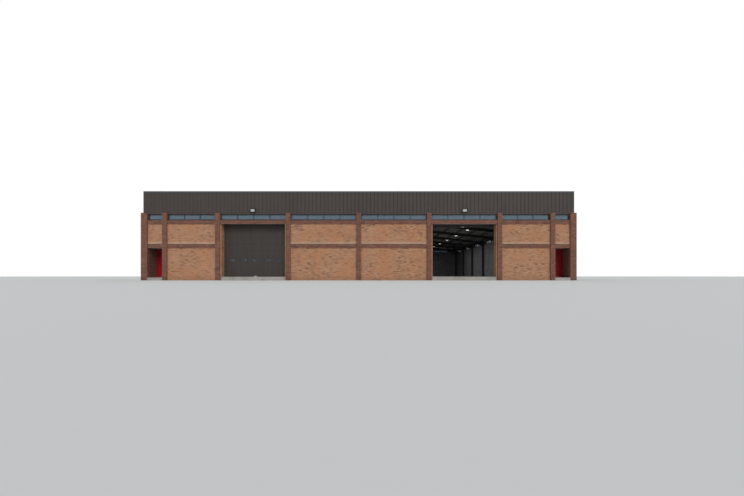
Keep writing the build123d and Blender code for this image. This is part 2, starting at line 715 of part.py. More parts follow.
knuckle_step = KNUCKLE_HEIGHT + KNUCKLE_GAP
with BuildPart() as frame_hinges:
    for sign in (-1, 1):
        for height in HINGE_HEIGHTS:
            for foot in (FLOOR_TOP + height - knuckle_step, FLOOR_TOP + height + knuckle_step):
                hinge_half(sign, 1, foot)
save(frame_hinges, "frame_hinges")

for door_name, sign in (("left", -1), ("right", 1)):
    leaf_middle = HALF_WIDTH + sign * (leaf_inner + leaf_outer) / 2
    leaf_half = (leaf_outer - leaf_inner) / 2
    with BuildPart() as leaf:
        leaf_plan = [(leaf_middle - leaf_half, leaf_middle + leaf_half, leaf_front, recess_back)]
        blocks(FRONT_SIDE.plane, leaf_plan, leaf_foot, leaf_head)
        for height in HINGE_HEIGHTS:
            hinge_half(sign, -1, FLOOR_TOP + height)
    save(leaf, f"{door_name}_entrance_door")

    # Lever handles: a back plate and a cranked bar on each face, near the free edge
    grip_x = leaf_middle - sign * (leaf_half - HANDLE_EDGE)
    plate_width, plate_height, plate_thickness = HANDLE_PLATE
    bar_length, bar_height, bar_thickness = HANDLE_BAR
    with BuildPart() as handles:
        for face, out in ((leaf_front, -1), (recess_back, 1)):
            with BuildSketch(FRONT_SIDE.plane.offset(handle_z - plate_height / 2)) as plate:
                with Locations((grip_x, face + out * plate_thickness / 2)):
                    Rectangle(plate_width, plate_thickness)
            extrude(plate.sketch, amount=plate_height)
            reach = plate_thickness + HANDLE_STANDOFF + bar_thickness
            with BuildSketch(FRONT_SIDE.plane.offset(handle_z - bar_height / 2)) as bar:
                with Locations((grip_x, face + out * reach / 2)):
                    Rectangle(bar_height, reach)
                bar_x = grip_x + sign * (bar_length - bar_height) / 2
                with Locations((bar_x, face + out * (reach - bar_thickness / 2))):
                    Rectangle(bar_length, bar_thickness)
            extrude(bar.sketch, amount=bar_height)
    save(handles, f"{door_name}_door_handles")

# Sectional doors: sections follow the track, upright behind the doorway and flat under the roof.
# Their hinges lie on the inner face, so the joints open outward in the bend.
curtain_y = JAMB_REACH + CURTAIN_CLEARANCE + SECTION_THICKNESS
bend_foot = DOOR_HEAD + TRACK_RISE
quarter = TRACK_BEND * math.pi / 2
curtain_height = DOOR_HEAD + HEAD_LAP - FLOOR_TOP - FLOOR_SEAL_GAP
section_height = curtain_height / SECTION_COUNT
curtain_half = doorway_half + CURTAIN_LAP


def track_point(travel):
    """Depth and height of the track's centre line, by the travel from the floor."""
    upright_run = bend_foot - FLOOR_TOP
    if travel <= upright_run:
        return curtain_y, FLOOR_TOP + travel
    turned = min(travel - upright_run, quarter) / TRACK_BEND
    y = curtain_y + TRACK_BEND * (1 - math.cos(turned))
    z = bend_foot + TRACK_BEND * math.sin(turned)
    return y + max(0.0, travel - upright_run - quarter), z


def next_travel(travel):
    """Travel of the hinge line one section further on, found by halving."""
    near, far = travel, travel + 2 * section_height
    y0, z0 = track_point(travel)
    for _ in range(50):
        middle = (near + far) / 2
        y1, z1 = track_point(middle)
        if math.hypot(y1 - y0, z1 - z0) < section_height:
            near = middle
        else:
            far = middle
    return (near + far) / 2


def section_planes(first_travel):
    """One plane for each section: x along the door, y up the section, z outward."""
    planes = []
    travel = first_travel
    for _ in range(SECTION_COUNT):
        following = next_travel(travel)
        y0, z0 = track_point(travel)
        y1, z1 = track_point(following)
        outward = (0, -(z1 - z0), y1 - y0)
        planes.append(
            Plane(
                origin=(0, FRONT + (y0 + y1) / 2, (z0 + z1) / 2), x_dir=(1, 0, 0), z_dir=outward
            )
        )
        travel = following
    return planes


pane_row = [(n - (PANE_COUNT - 1) / 2) * PANE_PITCH for n in range(PANE_COUNT)]
closed_travel = FLOOR_SEAL_GAP
raised_travel = DOOR_HEAD - RAISED_DROP - FLOOR_TOP
for door_name, centre, first_travel in (
    ("left", -doorway_centre, closed_travel),
    ("right", doorway_centre, raised_travel),
):
    planes = section_planes(first_travel)
    with BuildPart() as sections:
        for number, plane in enumerate(planes):
            with BuildSketch(plane) as section:
                with Locations((centre, 0)):
                    Rectangle(2 * curtain_half, section_height - SECTION_GAP)
                if number == PANE_SECTION:
                    with Locations(*[(centre + x, 0) for x in pane_row]):
                        Rectangle(PANE_WIDTH, PANE_HEIGHT, mode=Mode.SUBTRACT)
            extrude(section.sketch, amount=SECTION_THICKNESS)
    save(sections, f"{door_name}_door_sections")

with BuildPart() as door_panes:
    for centre, first_travel in ((-doorway_centre, closed_travel), (doorway_centre, raised_travel)):
        middle_plane = section_planes(first_travel)[PANE_SECTION].offset(SECTION_THICKNESS / 2)
        with BuildSketch(middle_plane) as row:
            with Locations(*[(centre + x, 0) for x in pane_row]):
                Rectangle(PANE_WIDTH, PANE_HEIGHT)
        extrude(row.sketch, amount=PANE_THICKNESS / 2, both=True)
save(door_panes, "door_panes")

# Door tracks: channels up the jambs, then a bend and a run under the roof
track_x = curtain_half + TRACK_CLEARANCE + TRACK_WIDTH / 2
track_lines = [(s * doorway_centre - track_x, 1) for s in (-1, 1)]
track_lines += [(s * doorway_centre + track_x, -1) for s in (-1, 1)]
track_half = TRACK_DEPTH / 2
with BuildPart() as door_uprights:
    for x, inward in track_lines:
        outer_x = HALF_WIDTH + x - inward * TRACK_WIDTH / 2
        web_x = sorted((outer_x, outer_x + inward * TRACK_WALL))
        flange_x = sorted((outer_x, outer_x + inward * TRACK_WIDTH))
        channel = [
            (*web_x, JAMB_REACH, curtain_y + track_half),
            (*flange_x, curtain_y - track_half, curtain_y - track_half + TRACK_WALL),
            (*flange_x, curtain_y + track_half - TRACK_WALL, curtain_y + track_half),
        ]
        blocks(FRONT_SIDE.plane, channel, FLOOR_TOP, bend_foot - TRACK_JOINT)
save(door_uprights, "door_uprights")

run_end = FRAME_LINES[1] + TRACK_TAIL
bend_centre_y = curtain_y + TRACK_BEND


def run_outline(half_depth):
    """Draw in the open sketch the band of the bend and run, half_depth either side of its line."""
    turns = [n * math.pi / 2 / BEND_FACETS for n in range(BEND_FACETS + 1)]
    edges = []
    for radius in (TRACK_BEND + half_depth, TRACK_BEND - half_depth):
        bend = [
            (FRONT + bend_centre_y - radius * math.cos(a), bend_foot + radius * math.sin(a))
            for a in turns
        ]
        edges.append(bend + [(FRONT + run_end, bend_foot + radius)])
    outer, inner = edges
    with BuildLine() as band:
        Polyline(*outer, *reversed(inner), close=True)
    make_face(band.edges())


with BuildPart() as door_runs:
    for x, inward in track_lines:
        outer_plane = Plane.YZ.offset(x - inward * TRACK_WIDTH / 2)
        with BuildSketch(outer_plane) as web:
            run_outline(track_half)
        extrude(web.sketch, amount=inward * TRACK_WALL)
        with BuildSketch(outer_plane) as flanges:
            run_outline(track_half)
            with BuildSketch(mode=Mode.PRIVATE) as hollow:
                run_outline(track_half - TRACK_WALL)
            add(hollow.sketch, mode=Mode.SUBTRACT)
        extrude(flanges.sketch, amount=inward * TRACK_WIDTH)
save(door_runs, "door_runs")

# Brackets of the doors: hangers from the rafters, and end plates on the jambs for the shaft
run_top = bend_foot + TRACK_BEND + track_half
shaft_z = DOOR_HEAD + SHAFT_RISE
plate_back = SHAFT_DEPTH + PLATE_SIZE / 2
with BuildPart() as door_brackets:
    for x, inward in track_lines:
        head = min(rafter_foot(abs(x) - TRACK_WIDTH / 2), rafter_foot(abs(x) + TRACK_WIDTH / 2))
        edges = (HALF_WIDTH + x - TRACK_WIDTH / 2, HALF_WIDTH + x + TRACK_WIDTH / 2)
        strap = (*edges, FRAME_LINES[1], FRAME_LINES[1] + HANGER_THICKNESS)
        blocks(FRONT_SIDE.plane, [strap], run_top, head)
        plate_x = HALF_WIDTH + x - inward * (TRACK_WIDTH / 2 + PLATE_THICKNESS)
        plate_edges = sorted((plate_x, plate_x - inward * PLATE_THICKNESS))
        end_plate = (*plate_edges, JAMB_REACH - PLATE_SEAT, plate_back)
        blocks(FRONT_SIDE.plane, [end_plate], DOOR_HEAD, shaft_z + PLATE_SIZE / 2)
save(door_brackets, "door_brackets")

# Lifting shafts: a shaft between the end plates with two cable drums and two springs
shaft_half = track_x + TRACK_WIDTH / 2 + PLATE_THICKNESS
with BuildPart() as door_shafts:
    for centre in (-doorway_centre, doorway_centre):
        drum_edge = shaft_half - DRUM_INSET
        stages = [(-shaft_half, shaft_half, SHAFT_DIAMETER)]
        for side_sign in (-1, 1):
            stages.append((side_sign * drum_edge, side_sign * (drum_edge - DRUM_WIDTH), DRUM_DIAMETER))
            spring_start = side_sign * SPRING_START
            spring_end = side_sign * (SPRING_START + SPRING_LENGTH)
            stages.append((spring_start, spring_end, SPRING_DIAMETER))
        for start, end, diameter in stages:
            near = min(start, end)
            with BuildSketch(Plane.YZ.offset(centre + near)) as round_face:
                with Locations((FRONT + SHAFT_DEPTH, shaft_z)):
                    RegularPolygon(diameter / 2, ROUND_SIDES)
            extrude(round_face.sketch, amount=abs(end - start))
save(door_shafts, "door_shafts")

# Floodlights over the vehicle doorways: a rimmed housing that tapers behind, in a stirrup
tilt = math.radians(LAMP_TILT)
lamp_y = -LAMP_REACH + math.sin(tilt) * LAMP_HEIGHT / 2
lamp_z = WINDOW_HEAD + LAMP_RISE
lamp_planes = [
    Plane(
        origin=(centre, FRONT + lamp_y, lamp_z),
        x_dir=(1, 0, 0),
        z_dir=(0, -math.cos(tilt), -math.sin(tilt)),
    )
    for centre in (-doorway_centre, doorway_centre)
]
with BuildPart() as floodlights:
    with BuildSketch(*lamp_planes):
        Rectangle(LAMP_WIDTH, LAMP_HEIGHT)
    extrude(amount=-LAMP_RIM_DEPTH)
    with BuildSketch(*[plane.offset(-LAMP_RIM_DEPTH) for plane in lamp_planes]):
        Rectangle(LAMP_WIDTH, LAMP_HEIGHT)
    extrude(amount=-(LAMP_THICKNESS - LAMP_RIM_DEPTH), taper=LAMP_TAPER)
    with BuildSketch(*lamp_planes):
        Rectangle(LAMP_WIDTH - 2 * LAMP_RIM, LAMP_HEIGHT - 2 * LAMP_RIM)
    extrude(amount=-LAMP_PANE, mode=Mode.SUBTRACT)
save(floodlights, "floodlights")

with BuildPart() as floodlight_panes:
    with BuildSketch(*lamp_planes):
        Rectangle(LAMP_WIDTH - 2 * LAMP_RIM, LAMP_HEIGHT - 2 * LAMP_RIM)
    extrude(amount=-LAMP_PANE)
save(floodlight_panes, "floodlight_panes")

with BuildPart() as floodlight_brackets:
    arm = LAMP_WIDTH / 2 + BRACKET_THICKNESS
    for centre in (-doorway_centre, doorway_centre):
        middle = HALF_WIDTH + centre
        stirrup = [
            (middle - arm, middle + arm, CLADDING_RECESS - BRACKET_THICKNESS, CLADDING_RECESS),
            (middle - arm, middle - LAMP_WIDTH / 2, lamp_y, CLADDING_RECESS),
            (middle + LAMP_WIDTH / 2, middle + arm, lamp_y, CLADDING_RECESS),
        ]
        foot = lamp_z - BRACKET_WIDTH / 2
        blocks(FRONT_SIDE.plane, stirrup, foot, foot + BRACKET_WIDTH)
save(floodlight_brackets, "floodlight_brackets")

# High-bay lights: four rows of bells hung under the purlins, beside each inner frame
light_x = purlin_offsets[BAY_LIGHT_PURLIN]
light_rows = [light_x, 2 * ridge_x - light_x]
light_lines = [y + BAY_LIGHT_SHIFT for y in FRAME_LINES[1:-1]]
bell_run = (BAY_LIGHT_DIAMETER - BAY_LIGHT_NECK) / 2
bell_taper = math.degrees(math.atan2(bell_run * math.cos(math.pi / BAY_LIGHT_SIDES), BAY_LIGHT_HEIGHT))
with BuildPart() as bay_lights:
    for x in light_rows:
        purlin_edges = (x - PURLIN_THICKNESS / 2, x + PURLIN_FLANGE)
        bell_top = min(rafter_top(edge) for edge in purlin_edges) - BAY_LIGHT_SEAT_GAP
        bell_foot = bell_top - BAY_LIGHT_HEIGHT
        with BuildSketch(FRONT_SIDE.plane.offset(bell_foot)):
            with Locations(*[(HALF_WIDTH + s * x, y) for s in (-1, 1) for y in light_lines]):
                RegularPolygon(BAY_LIGHT_DIAMETER / 2, BAY_LIGHT_SIDES)
        extrude(amount=BAY_LIGHT_HEIGHT, taper=bell_taper)
save(bay_lights, "bay_lights")
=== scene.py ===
"""Looks of the industrial warehouse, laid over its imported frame.

Every new piece is a surface worked out as whole arrays. Four formulas make nearly all of them:
boxes: a corner table of 8 signs times half sizes, added to the box centres, gives all the corners at once;
bars: the four corners of a section, carried straight from one end to the other;
turned forms: radius r(t) and place s(t) of a profile, carried round an axis as (r cos a, r sin a, s);
ribbed sheets: a plan outline carried from one level to another as straight faces.
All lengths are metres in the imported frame: X along the front, Y into the building, Z up.
"""
import math

import bmesh
import bpy
import numpy as np
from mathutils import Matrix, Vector


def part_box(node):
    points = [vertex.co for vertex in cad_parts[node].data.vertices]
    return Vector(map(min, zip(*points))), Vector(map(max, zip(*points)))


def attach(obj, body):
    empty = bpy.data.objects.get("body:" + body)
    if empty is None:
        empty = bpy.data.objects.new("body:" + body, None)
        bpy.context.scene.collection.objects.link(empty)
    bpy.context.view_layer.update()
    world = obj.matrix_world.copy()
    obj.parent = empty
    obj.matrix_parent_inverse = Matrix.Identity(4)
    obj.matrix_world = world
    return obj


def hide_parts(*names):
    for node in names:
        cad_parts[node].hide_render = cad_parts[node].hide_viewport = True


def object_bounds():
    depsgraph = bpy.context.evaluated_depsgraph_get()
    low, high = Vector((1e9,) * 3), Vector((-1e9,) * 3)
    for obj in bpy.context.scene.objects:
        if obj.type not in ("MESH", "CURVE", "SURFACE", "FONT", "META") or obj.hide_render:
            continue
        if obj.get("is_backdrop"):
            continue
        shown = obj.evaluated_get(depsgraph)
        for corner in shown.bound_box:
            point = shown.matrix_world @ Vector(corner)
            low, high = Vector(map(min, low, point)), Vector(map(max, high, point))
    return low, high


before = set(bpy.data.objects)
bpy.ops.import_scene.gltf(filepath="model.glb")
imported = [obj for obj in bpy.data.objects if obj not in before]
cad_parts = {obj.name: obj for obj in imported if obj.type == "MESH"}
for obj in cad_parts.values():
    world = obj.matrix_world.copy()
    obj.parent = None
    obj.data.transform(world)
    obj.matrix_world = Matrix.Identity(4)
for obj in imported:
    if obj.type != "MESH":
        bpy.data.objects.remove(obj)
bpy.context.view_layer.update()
ROOT = "building"

# Sizes shared with the frame
MAIN_BAY, SIDE_BAY, ENTRY_BAY, FRAME_BAY = 5.0, 3.75, 1.45, 5.0
PIER, CORNER = 0.33, 0.44
WALL_INNER, PANEL_RECESS, BAND_RECESS = 0.355, 0.1, 0.055
HALF_WIDTH = 2 * MAIN_BAY + SIDE_BAY + ENTRY_BAY + CORNER / 2
DEPTH, FRONT, FLOOR_TOP = 35.4405, -17.68025, 0.25
MID_FOOT, MID_TOP, DOOR_HEAD, BAND_TOP, WINDOW_HEAD = 2.3, 2.59, 4.0, 4.28, 4.7
LIP_TOP, LIP_RECESS = 4.785, 0.11
CLADDING_RECESS, CLADDING_FOOT, CLADDING_TOP, SHEET, RAIL, POST = 0.12, 4.71, 6.33, 0.037, 0.06, 0.1
WINDOW_RECESS, FRAME_SIDE = 0.2, 0.04
PORCH_INNER = 2 * MAIN_BAY + SIDE_BAY - PIER / 2
PORCH_FACE, RECESS_BACK = PORCH_INNER + PIER, 1.33
HALL = HALF_WIDTH - WALL_INNER
DOOR_HALF, DOOR_CENTRE, JAMB_REACH, JAMB_NIB = 2.26, 7.5, 0.6, 0.075
FRAME_Y = [0.4405] + [n * FRAME_BAY for n in range(1, 8)]
COLUMN_DEPTH, COLUMN_WIDTH, PLATE_LAP, END_PLATE = 0.254, 0.171, 0.02, 0.018
SLOPE, RIDGE_X, PURLIN, ROOF_PANEL = math.radians(6), HALL / 2, 0.18, 0.06

# Brickwork: a 215 by 65 mm brick with 10 mm joints; inside, 440 by 215 mm blocks with painted joints 3 mm deep
BRICK_PITCH, JOINT, COURSE, RELIEF = 0.225, 0.01, 0.075, 0.006
BLOCK_PITCH, BLOCK_COURSE, BLOCK_RELIEF, LINING = 0.45, 0.225, 0.003, 0.006
# Depth of a brick face, how far a block front runs into its core, and the narrowest cut brick and block
CHEEK, LAP, CUT_BRICK, CUT_BLOCK = 0.012, 0.001, 0.02, 0.01
# The lining of a panel or band runs on behind the cheeks of the piers, to meet theirs
MEET = (-CHEEK, -CHEEK)


def course_levels():
    """Joint heights of every course, fitted to the bands: each stage is split in even courses near 75 mm."""
    levels = [0.0]
    stages = (0, MID_FOOT, MID_TOP, DOOR_HEAD, BAND_TOP, LIP_TOP)
    for low, high in zip(stages, stages[1:]):
        count = round((high - low) / COURSE)
        levels += list(low + (high - low) * np.arange(1, count + 1) / count)
    return np.array(levels)


LEVELS = course_levels()


class Wall:
    """One side of the building: local (u along it, d into it, z up) turned to frame axes by whole arrays."""

    def __init__(self, x, y, along, length, piers):
        self.origin, self.along = np.array([x, y, 0.0]), np.array(along, float)
        self.inward = self.along[[1, 0, 2]] * (-1, 1, 0)
        self.length, self.piers = length, sorted(piers)
        starts = [CORNER] + [p + PIER / 2 for p in self.piers]
        ends = [p - PIER / 2 for p in self.piers] + [length - CORNER]
        self.bays = list(zip(starts, ends))

    def place(self, local):
        """Frame point of local (u, d, z): origin + u along + d inward + z up."""
        local = np.asarray(local, float)
        flat = self.origin + local[..., 0:1] * self.along + local[..., 1:2] * self.inward
        flat[..., 2] += local[..., 2]
        return flat


LONG_PIERS = [HALF_WIDTH + x for x in (-13.75, -10.0, -5.0, 0.0, 5.0, 10.0, 13.75)]
SIDE_PIERS = [n * FRAME_BAY for n in range(1, 7)]
REAR = FRONT + DEPTH
WALLS = {"front": Wall(-HALF_WIDTH, FRONT, (1, 0, 0), 2 * HALF_WIDTH, LONG_PIERS),
         "right": Wall(HALF_WIDTH, FRONT, (0, 1, 0), DEPTH, SIDE_PIERS),
         "rear": Wall(HALF_WIDTH, REAR, (-1, 0, 0), 2 * HALF_WIDTH, LONG_PIERS),
         "left": Wall(-HALF_WIDTH, REAR, (0, -1, 0), DEPTH, [DEPTH - y for y in SIDE_PIERS])}
front = WALLS["front"]
LONG_SIDES = ("front", "rear")
ENTRY_BAYS, DOOR_BAYS = (0, 7), (2, 5)

# Meshes
CORNERS = np.array([(x, y, z) for z in (-1, 1) for y in (-1, 1) for x in (-1, 1)], float)
BOX_FACES = np.array([(0, 2, 3, 1), (4, 5, 7, 6), (0, 1, 5, 4), (2, 6, 7, 3), (0, 4, 6, 2), (1, 3, 7, 5)])
BOX_NORMALS = np.array([(0, 0, -1), (0, 0, 1), (0, -1, 0), (0, 1, 0), (-1, 0, 0), (1, 0, 0)])
BAR_FACES = np.array([(0, 1, 2, 3), (7, 6, 5, 4), (0, 4, 5, 1), (1, 5, 6, 2), (2, 6, 7, 3), (3, 7, 4, 0)])


def mesh_object(name, points, quads, materials, tone=None, which=None, smooth=False, weld=False):
    """One mesh from a point table and a quad table, with a value per point and a material per face.

    Welding joins points of one place, which closes seams and turns the quads at a pole into triangles.
    """
    points, quads = np.asarray(points, np.float32).reshape(-1, 3), np.asarray(quads, np.int32).reshape(-1, 4)
    mesh = bpy.data.meshes.new(name)
    mesh.vertices.add(len(points))
    mesh.vertices.foreach_set("co", points.ravel())
    mesh.loops.add(quads.size)
    mesh.loops.foreach_set("vertex_index", quads.ravel())
    mesh.polygons.add(len(quads))
    mesh.polygons.foreach_set("loop_start", np.arange(len(quads), dtype=np.int32) * 4)
    for material in materials:
        mesh.materials.append(material)
    if which is not None:
        mesh.polygons.foreach_set("material_index", np.asarray(which, np.int32))
    mesh.update(calc_edges=True)
    if weld:
        shape = bmesh.new()
        shape.from_mesh(mesh)
        bmesh.ops.remove_doubles(shape, verts=shape.verts, dist=1e-5)
        shape.to_mesh(mesh)
        shape.free()
    mesh.shade_smooth() if smooth else mesh.shade_flat()
    if tone is not None:
        layer = mesh.attributes.new("tone", "FLOAT", "POINT")
        layer.data.foreach_set("value", np.asarray(tone, np.float32))
    piece = bpy.data.objects.new(name, mesh)
    bpy.context.scene.collection.objects.link(piece)
    return piece


def columns(*values):
    """Rows from whole columns; a single value fills its column."""
    return np.column_stack(np.broadcast_arrays(*values))


def repeated(faces, step, count):
    """The quads of one form for count copies of it, each step points further on."""
    return (np.asarray(faces)[None] + step * np.arange(count)[:, None, None]).reshape(-1, 4)


def box_mesh(lows, highs):
    """Points and quads of many boxes: centre plus corner signs times half size, faces outward."""
    lows, highs = np.minimum(lows, highs), np.maximum(lows, highs)
    centre, half = (lows + highs) / 2, (highs - lows) / 2
    points = centre[:, None, :] + CORNERS[None] * half[:, None, :]
    return points.reshape(-1, 3), repeated(BOX_FACES, 8, len(lows))


def boxes(rows, wall=None):
    """Boxes from rows (x0, x1, y0, y1, z0, z1), or in wall coordinates (u0, u1, d0, d1, z0, z1)."""
    rows = np.asarray(rows, float).reshape(-1, 6)
    lows, highs = rows[:, 0::2], rows[:, 1::2]
    return box_mesh(wall.place(lows), wall.place(highs)) if wall else box_mesh(lows, highs)


def bars(points, faces=BAR_FACES):
    """Straight bars from the corners of their ends, an array of bar by end by corner by axis."""
    return points.reshape(-1, 3), repeated(faces, 8, len(points))


def wall_bars(wall, spans, outline):
    """Bars along a wall: the four (d, z) corners of an outline, anticlockwise, carried from u0 to u1."""
    local = np.empty((len(spans), 2, 4, 3))
    local[..., 0] = np.asarray(spans, float)[:, :, None]
    local[..., 1:] = outline
    return bars(wall.place(local), BAR_FACES[:, ::-1])


def grid_quads(rows, across, wrap=False):
    """Quads of a grid of points, so many rows and so many across, closed round each row where wrap is true."""
    r, c = np.meshgrid(np.arange(rows - 1), np.arange(across if wrap else across - 1), indexing="ij")
    c1 = (c + 1) % across
    return np.stack([r * across + c, r * across + c1, (r + 1) * across + c1, (r + 1) * across + c], -1).reshape(-1, 4)


def turned(profile, sides, centres, axis="z"):
    """Turned forms at many centres: (r cos a, r sin a, s) for each profile point (r, s), closed at r = 0."""
    profile = np.asarray(profile, float)
    angle = np.arange(sides) * 2 * math.pi / sides
    ring = np.stack([np.cos(angle), np.sin(angle)], -1)
    local = np.concatenate([profile[:, None, :1] * ring[None], np.repeat(profile[:, None, 1:], sides, 1)], -1)
    order = {"z": (0, 1, 2), "x": (2, 0, 1), "y": (1, 2, 0)}[axis]
    local = local[..., order].reshape(-1, 3)
    centres = np.asarray(centres, float).reshape(-1, 3)
    points = (centres[:, None] + local[None]).reshape(-1, 3)
    return points, repeated(grid_quads(len(profile), sides, wrap=True), len(local), len(centres))


def joined(parts):
    """Several (points, quads) as one pair."""
    starts = np.cumsum([0] + [len(points) for points, _ in parts])
    return (np.concatenate([points for points, _ in parts]),
            np.concatenate([quads + start for (_, quads), start in zip(parts, starts)]))


def finish_piece(piece, nodes=(), body=ROOT):
    """Ride the piece on its body and stand for the nodes it replaces."""
    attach(piece, body)
    if nodes:
        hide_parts(*nodes)


def simple_piece(name, parts, material, nodes=(), body=ROOT, smooth=False):
    """A piece of one material from one or more (points, quads), its seams and poles welded."""
    finish_piece(mesh_object(name, *joined(parts), [material], smooth=smooth, weld=True), nodes, body)


# Materials


def linear(code):
    """sRGB hex to linear colour: ((c + 0.055) / 1.055) to the power 2.4 above the toe."""
    value = np.array([int(code[n:n + 2], 16) for n in (1, 3, 5)]) / 255
    value = np.where(value <= 0.04045, value / 12.92, ((value + 0.055) / 1.055) ** 2.4)
    return (*value, 1.0)


class Nodes:
    """The node tree of a material or a world."""

    def __init__(self, holder):
        holder.use_nodes = True
        self.tree = holder.node_tree

    def feed(self, socket, value):
        """Give a socket a link where the value is an output, a linear colour where it is hex, or the value itself."""
        if isinstance(value, bpy.types.NodeSocket):
            self.tree.links.new(value, socket)
        else:
            socket.default_value = linear(value) if isinstance(value, str) else value

    def add(self, kind, inputs=None, out=0, stops=(), **settings):
        """One node with its settings, its inputs and the stops of its colour ramp; gives back one of its outputs."""
        node = self.tree.nodes.new("ShaderNode" + kind)
        for key, value in settings.items():
            setattr(node, key, value)
        for key, value in (inputs or {}).items():
            self.feed(node.inputs[key], value)
        for _ in stops[2:]:
            node.color_ramp.elements.new(0.5)
        for n, (place, code) in enumerate(stops):
            node.color_ramp.elements[n].position = place
            node.color_ramp.elements[n].color = linear(code)
        return node.outputs[out]


class Finish(Nodes):
    """A material named for the real one, with the object's own coordinates at hand as its place."""

    def __init__(self, name):
        self.material = bpy.data.materials.new(name)
        super().__init__(self.material)
        self.place = self.add("TexCoord", out="Object")

    def put(self, **inputs):
        """Feed the shader's sockets, underscores standing for spaces, and give back the material."""
        shader = self.tree.nodes["Principled BSDF"]
        for key, value in inputs.items():
            self.feed(shader.inputs[key.replace("_", " ")], value)
        return self.material


# Patterns, whose grains are in millimetres


def clouds(f, size, detail, rough=0.5):
    """Clouds from 0 to 1: noise at the place times 1000 / size, a grain's one size or its sizes along the axes."""
    place = f.add("Mapping", {"Vector": f.place, "Scale": 1000 / (size * np.ones(3))})
    return f.add("TexNoise", {"Vector": place, "Scale": 1.0, "Detail": detail, "Roughness": rough})


def patchy(f, size, low, high, first, last, detail=3.0, rough=0.5):
    """A value in patches: clouds, where low gives first and high gives last."""
    return f.add("MapRange", {"Value": clouds(f, size, detail, rough), "From Min": low, "From Max": high,
                              "To Min": first, "To Max": last})


def stained(f, base, tint, size, low, high, most, detail=4.0, rough=0.5):
    """A base colour with a tint mixed into it by patches, from none of it to most."""
    share = patchy(f, size, low, high, 0.0, most, detail, rough)
    return f.add("Mix", {0: share, 6: base, 7: tint}, 2, data_type="RGBA")


def relief(f, size, depth, strength, detail=3.0, rough=0.5):
    """Fine relief: clouds lift the surface by up to depth."""
    return f.add("Bump", {"Height": clouds(f, size, detail, rough), "Strength": strength, "Distance": depth / 1000})


def pebbled(f, size, depth):
    """Raised cells as of leather or stucco: distance from the nearest cell's middle lifts the surface."""
    cells = f.add("TexVoronoi", {"Vector": f.place, "Scale": 1000 / size})
    return f.add("Bump", {"Height": cells, "Strength": 0.4, "Distance": depth / 1000})


def own_tone(f):
    """The tone that each brick or block has of its own."""
    return f.add("Attribute", out="Fac", attribute_name="tone")


# Finishes


def clay_brick(name, tones, soot, bloom, warm, ledge=None):
    """Fired clay brick, wire-cut: every brick has its own kiln tone, dirt gathers in patches and at the foot."""
    f = Finish(name)
    base = f.add("ValToRGB", {"Fac": own_tone(f)}, stops=tones)
    # Loads of warmer bricks 1.25 m across, soot and damp in patches of 0.6 m, lime mottling of 60 mm
    base = stained(f, base, warm, 1250, 0.42, 0.68, 0.5, detail=3.0)
    base = stained(f, base, soot, 590, 0.52, 0.75, 0.4)
    base = stained(f, base, bloom, 62, 0.35, 0.75, 0.35, detail=5.0, rough=0.7)
    # Rain splash darkens the lowest 0.4 m
    height = f.add("SeparateXYZ", {"Vector": f.place}, "Z")
    splash = f.add("MapRange", {"Value": height, "From Max": 0.4, "To Min": 0.35, "To Max": 0.0})
    base = f.add("Mix", {0: splash, 6: base, 7: soot}, 2, data_type="RGBA")
    if ledge:
        # Lime washed out over a ledge, strongest on it and gone 0.16 m up
        fade = f.add("MapRange", {"Value": height, "From Min": ledge, "From Max": ledge + 0.16,
                                  "To Min": 0.65, "To Max": 0.0})
        over = f.add("MapRange", {"Value": height, "From Min": ledge - 0.1, "From Max": ledge})
        wash = f.add("Math", {0: fade, 1: over}, operation="MULTIPLY")
        base = f.add("Mix", {0: wash, 6: base, 7: "#D3C3AE"}, 2, data_type="RGBA")
    # Drag marks and pits of a 2.4 mm grit
    return f.put(Base_Color=base, Roughness=0.92, Specular_IOR_Level=0.25, Normal=relief(f, 2.4, 1.5, 0.6))


def plain_finish(name, colour, *stains, tones=(), lift=None, cells=None, gloss=None, **inputs):
    """A colour with its stains one over another, a relief of clouds or cells and a patchy roughness, where it has them.

    The values are as stained, relief, pebbled and patchy take them. Where there are tones, the colour is a pattern,
    which a ramp turns into them.
    """
    f = Finish(name)
    if tones:
        colour = f.add("ValToRGB", {"Fac": colour(f)}, stops=tones)
    for stain in stains:
        colour = stained(f, colour, *stain)
    if lift:
        inputs["Normal"] = relief(f, *lift)
    if cells:
        inputs["Normal"] = pebbled(f, *cells)
    if gloss:
        inputs["Roughness"] = patchy(f, *gloss)
    return f.put(Base_Color=colour, **inputs)


BUFF_CLAY = ([(0.0, "#6B4C3D"), (0.2, "#86614D"), (0.3, "#A5795D"), (0.55, "#B28264"), (0.85, "#BD9072"),
              (1.0, "#AE7457")], "#755642", "#BB9374", "#BF7C52")
BUFF = clay_brick("wirecut_buff_clay_brick", *BUFF_CLAY, ledge=MID_TOP)
JAMB_BUFF = clay_brick("wirecut_buff_jamb_brick", *BUFF_CLAY)
BROWN = clay_brick("brown_clay_facing_brick",
                   [(0.0, "#583E35"), (0.3, "#6F4B3F"), (0.7, "#805849"), (1.0, "#8C6255")],
                   "#48352E", "#8E7061", "#84513F")
# Dense concrete block under grey masonry paint: each block takes it a little differently; scuffs and an 8 mm grit
BLOCK = plain_finish("painted_concrete_blockwork", own_tone, ("#5B5C5E", 770, 0.5, 0.8, 0.5, 5.0),
                     tones=[(0.2, "#717275"), (0.8, "#7F8083")], lift=(8.3, 1.5, 0.6, 4.0, 0.7), Roughness=0.8,
                     Specular_IOR_Level=0.3)
